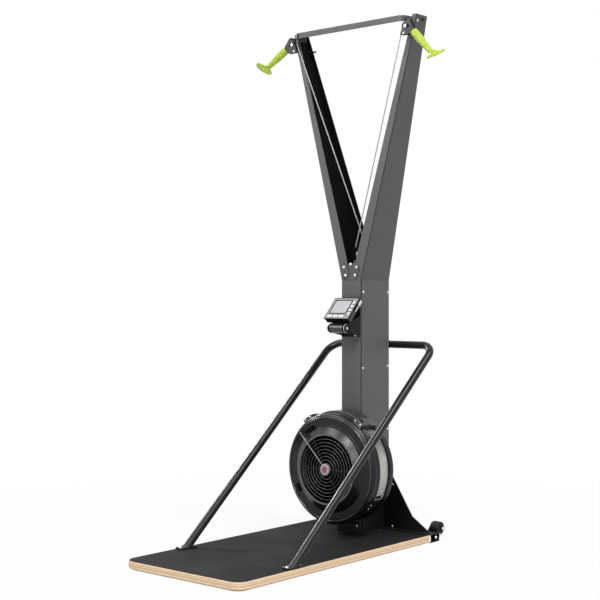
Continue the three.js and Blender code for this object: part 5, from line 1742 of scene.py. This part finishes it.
    def build_latches(self) -> None:
        """Lay the saddle over the drum, clip the cover to it, and strap each mesh's end."""
        body, slots, strips, straps, bolts = (Solid() for _ in range(5))
        low, high, sweep = (math.radians(angle) for angle in (*self.saddle, self.latch_sweep))
        saddle = [(0.2195, 0.26465), (0.2358, 0.26465), (0.238, 0.2668), (0.238, 0.3400),
                  (0.2358, 0.34235), (0.2195, 0.34235)]
        self.turned(saddle, 56, low, high - low, body)
        latch = [(0.2303, 0.23835), (0.2448, 0.23835), (0.247, 0.2405), (0.247, 0.2960),
                 (0.2446, 0.29835), (0.2372, 0.29835), (0.2372, 0.26455), (0.2303, 0.26455)]
        slot = rectangle((0.2464, 0.2490), (0.2474, 0.2640))
        strip = rectangle((0.2272, 0.2364), (0.2318, 0.2383))
        for start in (low, high - sweep):
            self.turned(latch, 10, start, sweep, body)
            self.turned(slot, 6, start + 0.3 * sweep, 0.4 * sweep, slots)
            self.turned(strip, 8, start + 0.04 * sweep, 0.84 * sweep, strips)
            for share in (0.22, 0.8):
                spot = self.outward(start + share * sweep) * self.latch_bolt_reach
                bolts.screw((spot.x, self.latch_face, self.height + spot.z),
                            -ALONG_Y, 0.0026, 0.0018)
        strap = rectangle((0.2198, 0.2700), (0.2222, 0.3280))
        post = rectangle((0.2198, 0.3235), (0.2226, 0.3280))
        for profile, angle, width in ((strap, -26.6, 1.2), (strap, -32.4, 1.0), (post, -31.4, 4.8)):
            for start in (angle, 180.0 - angle - width):
                self.turned(profile, 4, math.radians(start), math.radians(width), straps)
        for along, reach, angle in ((0.3190, 0.22, -29.2), (0.2780, 0.22, -29.2),
                                    (0.2560, 0.2302, -36.0), (0.2560, 0.2302, -41.0)):
            for turn in (angle, 180.0 - angle):
                outward = self.outward(math.radians(turn))
                bolts.screw(Vector((0.0, along, self.height)) + outward * reach,
                            outward, 0.003, 0.0022)
        # Painted sheen: the saddle is lighter than the cover partly for the reflection on its top.
        self.keep(body.piece("latch_saddle", 0.0008), SADDLE_SHEEN_PLASTIC)
        # Painted shade: dark slots stand for the shade in the latches' recesses.
        self.keep(slots.piece("latch_slots", 0.0002), BLACK_AND_SHADE_PLASTIC)
        # Painted highlight: the strips' pale grey stands partly for glints on the latches.
        self.keep(strips.piece("latch_strips", 0.0004), GREY_HIGHLIGHT_PLASTIC)
        self.keep(straps.piece("mesh_straps", 0.0004), PLATED_STEEL)
        self.keep(bolts.piece("drum_bolts"), PLATED_STEEL)

    def outward(self, angle: float) -> Vector:
        """The way that points out from the fan's axis at an angle."""
        return Vector((math.cos(angle), 0.0, math.sin(angle)))

    def build_rear(self) -> None:
        """Turn the dished rear cover with its boss."""
        rib, boss = self.rib_radius, 0.032
        profile = [(0.0203, 0.36305), (boss - 0.0006, 0.36305), (boss, 0.36245), (boss, 0.3590),
                   (boss + 0.0015, 0.35835), (rib - 0.0045, 0.35835), (rib - 0.0012, 0.3570),
                   (rib, 0.3540), (rib, 0.3432), (rib - 0.0006, 0.34265), (rib - 0.004, 0.34265),
                   (rib - 0.004, 0.35435), (boss, 0.35435), (boss, 0.34265), (0.0203, 0.34265)]
        rear = self.turned(profile)
        for index in range(self.rear_rib_count):
            raised = Solid().block((0.045, 0.3580, -0.002), (0.212, 0.3606, 0.002))
            rear.joined(raised.moved(self.turn(TURN * (index + 0.5) / self.rear_rib_count)))
        self.keep(rear.piece("fan_rear_shell", 0.0005), COVER_PLASTIC, ("fan_rear_cover",))

    def build_wheel(self) -> None:
        """Make the fan wheel: a plate, a hub and twelve blades."""
        cap = [(0.0, 0.2402), (0.0108, 0.2402), (0.0124, 0.2416), (0.0124, 0.2455), (0.009, 0.2455),
               (0.009, 0.2418), (0.0, 0.2418)]
        plate = [(0.0088, 0.2456), (0.030, 0.2456), (0.0303, 0.3140), (0.033, 0.3154),
                 (0.1985, 0.3154), (0.1995, 0.3164), (0.1995, 0.3184), (0.1985, 0.3192),
                 (0.0088, 0.3192)]
        wheel = self.turned(plate, 128, into=self.capped(cap, 48, Solid()))
        root, tip = self.blade_reach
        for index in range(self.blade_count):
            sides = []
            for way in (-1, 1):
                for step in range(9)[::-way]:
                    radius = root + (tip - root) * step / 8
                    lean = self.blade_lean * (step / 8) ** 2 + way * self.blade_half / radius
                    outward = self.outward(TURN * index / self.blade_count + lean) * radius
                    sides.append((outward.x, self.height + outward.z))
            wheel.plate(sides, Plane.FRONT, 0.2515, 0.3156)
        # Painted shade: the wheel is near black so that the fan's inside reads as shade.
        self.keep(wheel.piece("fan_wheel", sharp=45.0), BLACK_AND_SHADE_PLASTIC, ("impeller",), "flywheel")


@dataclass
class SupportFrame(SubAssembly):
    """The bent tube, its foot plates and welds, and the clamp that holds it behind the mast."""

    radius: float = 0.016
    foot: Triple = (0.278, -0.33165, 0.035)
    corner: Triple = (0.277, 0.57965, 0.819)
    bend: float = 0.064
    plate_half: Pair = (0.022, 0.043)
    plate_round: float = 0.009
    plate_thickness: float = 0.006
    weld_shift: float = 0.006
    screw_places: Pair = (-0.033, 0.036)
    clamp_back: float = 0.56865
    clamp_across: Pair = (-0.018, 0.018)
    clamp_heights: Pair = (0.786, 0.852)

    def build(self) -> None:
        """Sweep the tube and lay its feet."""
        foot, corner = Vector(self.foot), Vector(self.corner)
        way = (corner - foot).normalized()
        start = foot - way * 0.01
        flip = Matrix.Diagonal((-1.0, 1.0, 1.0))
        path = bent([flip @ start, flip @ corner, corner, start], self.bend, 20)
        x, y, low = self.foot
        tube = Solid().sweep(path, self.radius, 48).cut_below(low + 0.002)
        half, long = self.plate_half
        top = low + self.plate_thickness
        corners = rectangle((x - half, y - long), (x + half, y + long))
        plates = Solid().plate(rounded(corners, [self.plate_round] * 4), Plane.TOP, low, top)
        weld = [(0.0, 0.0), (0.0205, 0.0), (0.0198, 0.0014), (0.0182, 0.0032), (0.0166, 0.0048),
                (0.0, 0.0048)]
        welds = Solid().revolve(weld, (0.0, 0.0, 0.0), ALONG_Z, 56)
        seat = Matrix.Translation((x, y + self.weld_shift, top - 0.0004))
        welds.moved(seat @ Matrix.Diagonal((1.0, 1 / way.z, 1.0, 1.0)))
        self.keep(tube.piece("support_tube_bent"), TUBE_PAINT, ("support_tube",))
        self.keep(plates.mirrored().piece("tube_foot_plates", 0.001), TUBE_PAINT)
        self.keep(welds.mirrored().piece("tube_welds"), TUBE_PAINT)
        screws = Solid().screws([(x, y + along, top) for along in self.screw_places], ALONG_Z,
                                0.0055, 0.004)
        self.keep(screws.mirrored().piece("tube_foot_screws"), PLATED_STEEL)
        self.eased("tube_clamp", BLACK_POWDER, 0.0008)
        places = [(across, self.clamp_back,
                   height) for across in self.clamp_across for height in self.clamp_heights]
        self.keep(Solid().screws(places, ALONG_Y, 0.005, 0.0036).piece("clamp_bolts"), PLATED_STEEL)


@dataclass
class TransportWheels(SubAssembly):
    """Rollers behind the rail in their brackets."""

    centre: Triple = (0.265, 0.61465, 0.047)
    radius: float = 0.027
    half_width: float = 0.021
    cap_place: Triple = (0.2953, 0.61465, 0.047)
    bracket_bolt: Triple = (0.2903, 0.5998, 0.0225)

    def build(self) -> None:
        """Build both brackets, rollers and their hub caps."""
        r, half = self.radius, self.half_width
        profile = both_ways([(0.0054, half), (0.011, half), (0.0125, half - 0.0015),
                             (0.019, half - 0.0015), (0.0205, half), (r - 0.005, half),
                             (r - 0.0015, half - 0.002), (r, half - 0.0055), (r, 0.002),
                             (r - 0.002, 0.001)])
        x, y, z = self.centre
        for side, way in SIDES.items():
            self.eased(f"wheel_bracket_{side}", BLACK_POWDER, 0.0007)
            roller = Solid().revolve(profile, (way * x, y, z), ALONG_X, 72, loop=True)
            self.keep(roller.piece(f"roller_{side}"), WHEEL_RUBBER, (f"transport_wheel_{side}",),
                      f"wheel_{side}")
        caps = Solid().screw(self.cap_place, ALONG_X, 0.0058, 0.003)
        caps.screw(self.bracket_bolt, ALONG_X, 0.004, 0.0025)
        self.keep(caps.mirrored().piece("wheel_bolts"), PLATED_STEEL)


@dataclass
class Monitor(SubAssembly):
    """Tilting monitor: bracket, barrel, case, display, keys and screws."""

    pivot: Triple = (0.0, 0.27335, 0.893)
    angle: float = 42.6
    half_width: float = 0.065
    face: float = -0.0366
    back: float = -0.0116
    foot: float = 0.0207
    top: float = 0.1377
    barrel_radius: float = 0.02
    barrel: Pair = (-0.038, 0.046)
    barrel_band: float = 0.0088
    bracket_face: float = 0.36005
    bracket_places: tuple[Pair, ...] = ((0.0255, 0.863), (-0.0258, 0.966), (0.0258, 0.966))
    axle_ends: Pair = (0.0503, -0.0423)
    display_low: Pair = (-0.048, 0.0547)
    display_high: Pair = (0.032, 0.1207)
    rim_inset: float = 0.0021
    rib_count: int = 11
    grip_count: int = 6

    def place(self) -> Matrix:
        """The matrix from the case's own upright frame to its tilted place."""
        return Matrix.Translation(self.pivot) @ Matrix.Rotation(-math.radians(self.angle), 4, "X")

    def tilted(self, solid: Solid, name: str, finish: Finish, ease: float = 0.0,
               stands_for: Sequence[str] = ()) -> bpy.types.Object:
        """Tilt a solid of the case's own frame to its place and keep it on the monitor."""
        return self.keep(solid.moved(self.place()).piece(name, ease), finish, stands_for, "monitor")

    def build(self) -> None:
        """Build the bracket, then everything that tilts."""
        self.eased("monitor_bracket", BLACK_POWDER, 0.0006)
        self.build_bolts()
        self.build_barrel()
        self.build_case()
        self.build_screen()
        self.build_keys()

    def build_bolts(self) -> None:
        """Put screws in the bracket's plate and a bolt with a ring on the barrel's axle."""
        places = [(across, self.bracket_face, height) for across, height in self.bracket_places]
        bolts = Solid().screws(places, -ALONG_Y, 0.0042, 0.003)
        right, left = ((across, *self.pivot[1:]) for across in self.axle_ends)
        bolts.screw(right, ALONG_X, 0.0056, 0.0042).screw(left, -ALONG_X, 0.0058, 0.004)
        self.keep(bolts.piece("bracket_screws"), PLATED_STEEL)

    def build_barrel(self) -> None:
        """Turn the barrel with its end rings, and fix the neck that carries the case."""
        (low, high), r, band = self.barrel, self.barrel_radius, self.barrel_band
        profile = [(0.0054, low), (r - 0.001, low), (r, low + 0.001), (r, low + 0.008),
                   (r - 0.0012, low + band), (r - 0.0012, high - band), (r, high - 0.008),
                   (r, high - 0.001), (r - 0.001, high), (0.0054, high)]
        barrel = Solid().revolve(profile, (0.0, 0.0, 0.0), ALONG_X, 72, loop=True)
        neck = rounded(rectangle((-0.022, 0.0145), (0.022, 0.075)), [0.0, 0.0, 0.005, 0.005], 6)
        barrel.plate(neck, Plane.FRONT, self.back + 0.0003, self.back + 0.0063)
        web = [(-0.0113, 0.012), (0.012, 0.012), (-0.0053, 0.058), (-0.0113, 0.058)]
        for across in (-0.016, 0.0, 0.016):
            barrel.plate(web, Plane.SIDE, across - 0.0013, across + 0.0013)
        tilting = self.tilted(barrel, "tilt_barrel_body", BARREL_PLASTIC, 0.0005, ("tilt_barrel",))
        self.repaint(tilting, BLACK_AND_SHADE_PLASTIC,
                     lambda middle, facing: not low + band <= middle.x <= high - band)
        # Painted highlight: the pale ring on the barrel's right end stands for a bright reflection.
        profile, end = rectangle((0.0172, 0.0), (0.0196, 0.0014)), (high, *self.pivot[1:])
        ring = Solid().revolve(profile, end, ALONG_X, 64, loop=True)
        self.keep(ring.piece("barrel_end_ring_highlight"), HIGHLIGHT_TRIM, (), "monitor")

    def build_case(self) -> None:
        """Ease the case, paint its face silver, and give it ribs and screws on its back."""
        case = self.eased("monitor_case", CASE_PLASTIC, 0.0011, "monitor")
        turn = self.place().to_3x3()
        self.repaint(case, FACE_PLASTIC, lambda middle, facing: facing.dot(turn @ -ALONG_Y) > 0.9)
        self.repaint(case, BLACK_AND_SHADE_PLASTIC, lambda middle, facing: facing.dot(turn @ -ALONG_Z) > 0.7)
        self.repaint(case, BLACK_AND_SHADE_PLASTIC, lambda middle, facing: abs(facing.x) > 0.9)
        half, face, back = self.half_width, self.face, self.back
        ribs, grips, edge = Solid(), Solid(), Solid()
        for index in range(self.rib_count):
            across = -0.05 + 0.01 * index
            low = 0.084 if abs(across) < 0.025 else 0.034
            side = [(back - 0.0002, low), (back + 0.0022, low + 0.003), (back + 0.0022, 0.123),
                    (back - 0.0002, 0.126)]
            ribs.plate(side, Plane.SIDE, across - 0.0014, across + 0.0014)
        self.tilted(ribs, "case_ribs", CASE_PLASTIC, 0.0005)
        # Painted highlight: a white strip high on each side of the case stands for light on its
        # sides.
        side_highlights = Solid().block((half, face + 0.0085, 0.110), (half + 0.0012, back - 0.002, 0.1355))
        bands = Solid().block((half, face + 0.0110, 0.076), (half + 0.0010, back - 0.004, 0.1085))
        for index in range(self.grip_count):
            low = 0.028 + 0.0078 * index
            grips.block((half, face + 0.0042, low), (half + 0.0012, back - 0.003, low + 0.0044))
        self.tilted(side_highlights.mirrored(), "case_side_highlights", HIGHLIGHT_TRIM, 0.0004)
        self.tilted(bands.mirrored(), "case_side_bands", FACE_PLASTIC, 0.0004)
        self.tilted(grips.mirrored(), "case_side_grips", CASE_PLASTIC, 0.0004)
        self.border(edge, (-half + 0.0026, self.foot + 0.0026), (half - 0.0026, self.top - 0.0026),
                    0.0032, (face - 0.0003, face + 0.003))
        self.tilted(edge, "case_edge", BLACK_AND_SHADE_PLASTIC, 0.0003)
        corners = [(across, back, height) for across in (-0.0575, 0.0575) for height in (0.029,
                                                                                         0.1295)]
        self.tilted(Solid().screws(corners, ALONG_Y, 0.0027, 0.0014), "case_screws", PLATED_STEEL)

    def border(self, solid: Solid, low: Pair, high: Pair, width: float, depth: Pair) -> None:
        """Add four bars round a rectangle of the case's own frame.

        Args:
            solid: The solid that takes them.
            low: The rectangle's lower left corner.
            high: Its upper right corner.
            width: How wide the bars are, outwards.
            depth: Where they start and end along the facing.
        """
        (left, foot), (right, top) = low, high
        for first, second in (((left - width, foot - width), (right + width, foot)),
                              ((left - width, top), (right + width, top + width)),
                              ((left - width, foot), (left, top)), ((right, foot),
                                                                    (right + width, top))):
            solid.block((first[0], depth[0], first[1]), (second[0], depth[1], second[1]))

    def build_screen(self) -> None:
        """Set the display in its recess, with a rim of painted highlight and a dark gasket round it.
        """
        low, high, inset, face = self.display_low, self.display_high, self.rim_inset, self.face
        pane = Solid().plate(rounded(rectangle(low, high), [0.0015] * 4, 4), Plane.FRONT,
                             face + 0.0003, face + 0.0015)
        self.tilted(pane, "display_pane", SCREEN_GLASS, 0.0003, ("monitor_screen",))
        rim, gasket = Solid(), Solid()
        inner = (low[0] + inset, low[1] + inset), (high[0] - inset, high[1] - inset)
        self.border(rim, *inner, inset, (face - 0.0001, face + 0.0004))
        self.border(gasket, low, high, 0.0054, (face - 0.0005, face + 0.0012))
        self.tilted(rim, "display_rim_highlight", HIGHLIGHT_TRIM)
        self.tilted(gasket, "display_gasket", BLACK_AND_SHADE_PLASTIC, 0.0003)

    def build_keys(self) -> None:
        """Make the seven keys: three wide ones below the display and four beside it."""
        places = [(x, 0.0362, 0.027, 0.0125) for x in (-0.0425, -0.0115, 0.0195)]
        places += [(0.0495, z, 0.0145, 0.0145) for z in (0.0515, 0.0720, 0.0925, 0.1130)]
        for index, (x, z, width, height) in enumerate(places, 1):
            half, tall = width / 2, height / 2
            outline = rounded(rectangle((x - half, z - tall), (x + half, z + tall)),
                              [0.42 * height] * 4, 6)
            key = Solid().plate(outline, Plane.FRONT, self.face - 0.0014, self.face + 0.0026)
            node = f"monitor_key_{index}"
            self.keep(key.moved(self.place()).piece(f"{node}_cap", 0.0009, 3), KEY_PLASTIC, (node,),
                      node)


def main() -> None:
    """Build every sub-assembly in order."""
    logging.basicConfig(level=logging.INFO, format="%(name)s: %(message)s")
    Studio().build()
    groups = [Deck(), Mast(), Arms(),
              PulleyHead(side="right", droop=48.0, foot_tilt=40.0, foot_twist=45.0),
              PulleyHead(side="left", droop=31.0, foot_tilt=50.0, foot_twist=40.0),
              CordDrive(), Fan(), SupportFrame(), TransportWheels(), Monitor()]
    for group in groups:
        log.info("building %s", type(group).__name__)
        group.build()


if __name__ == "__main__":
    main()
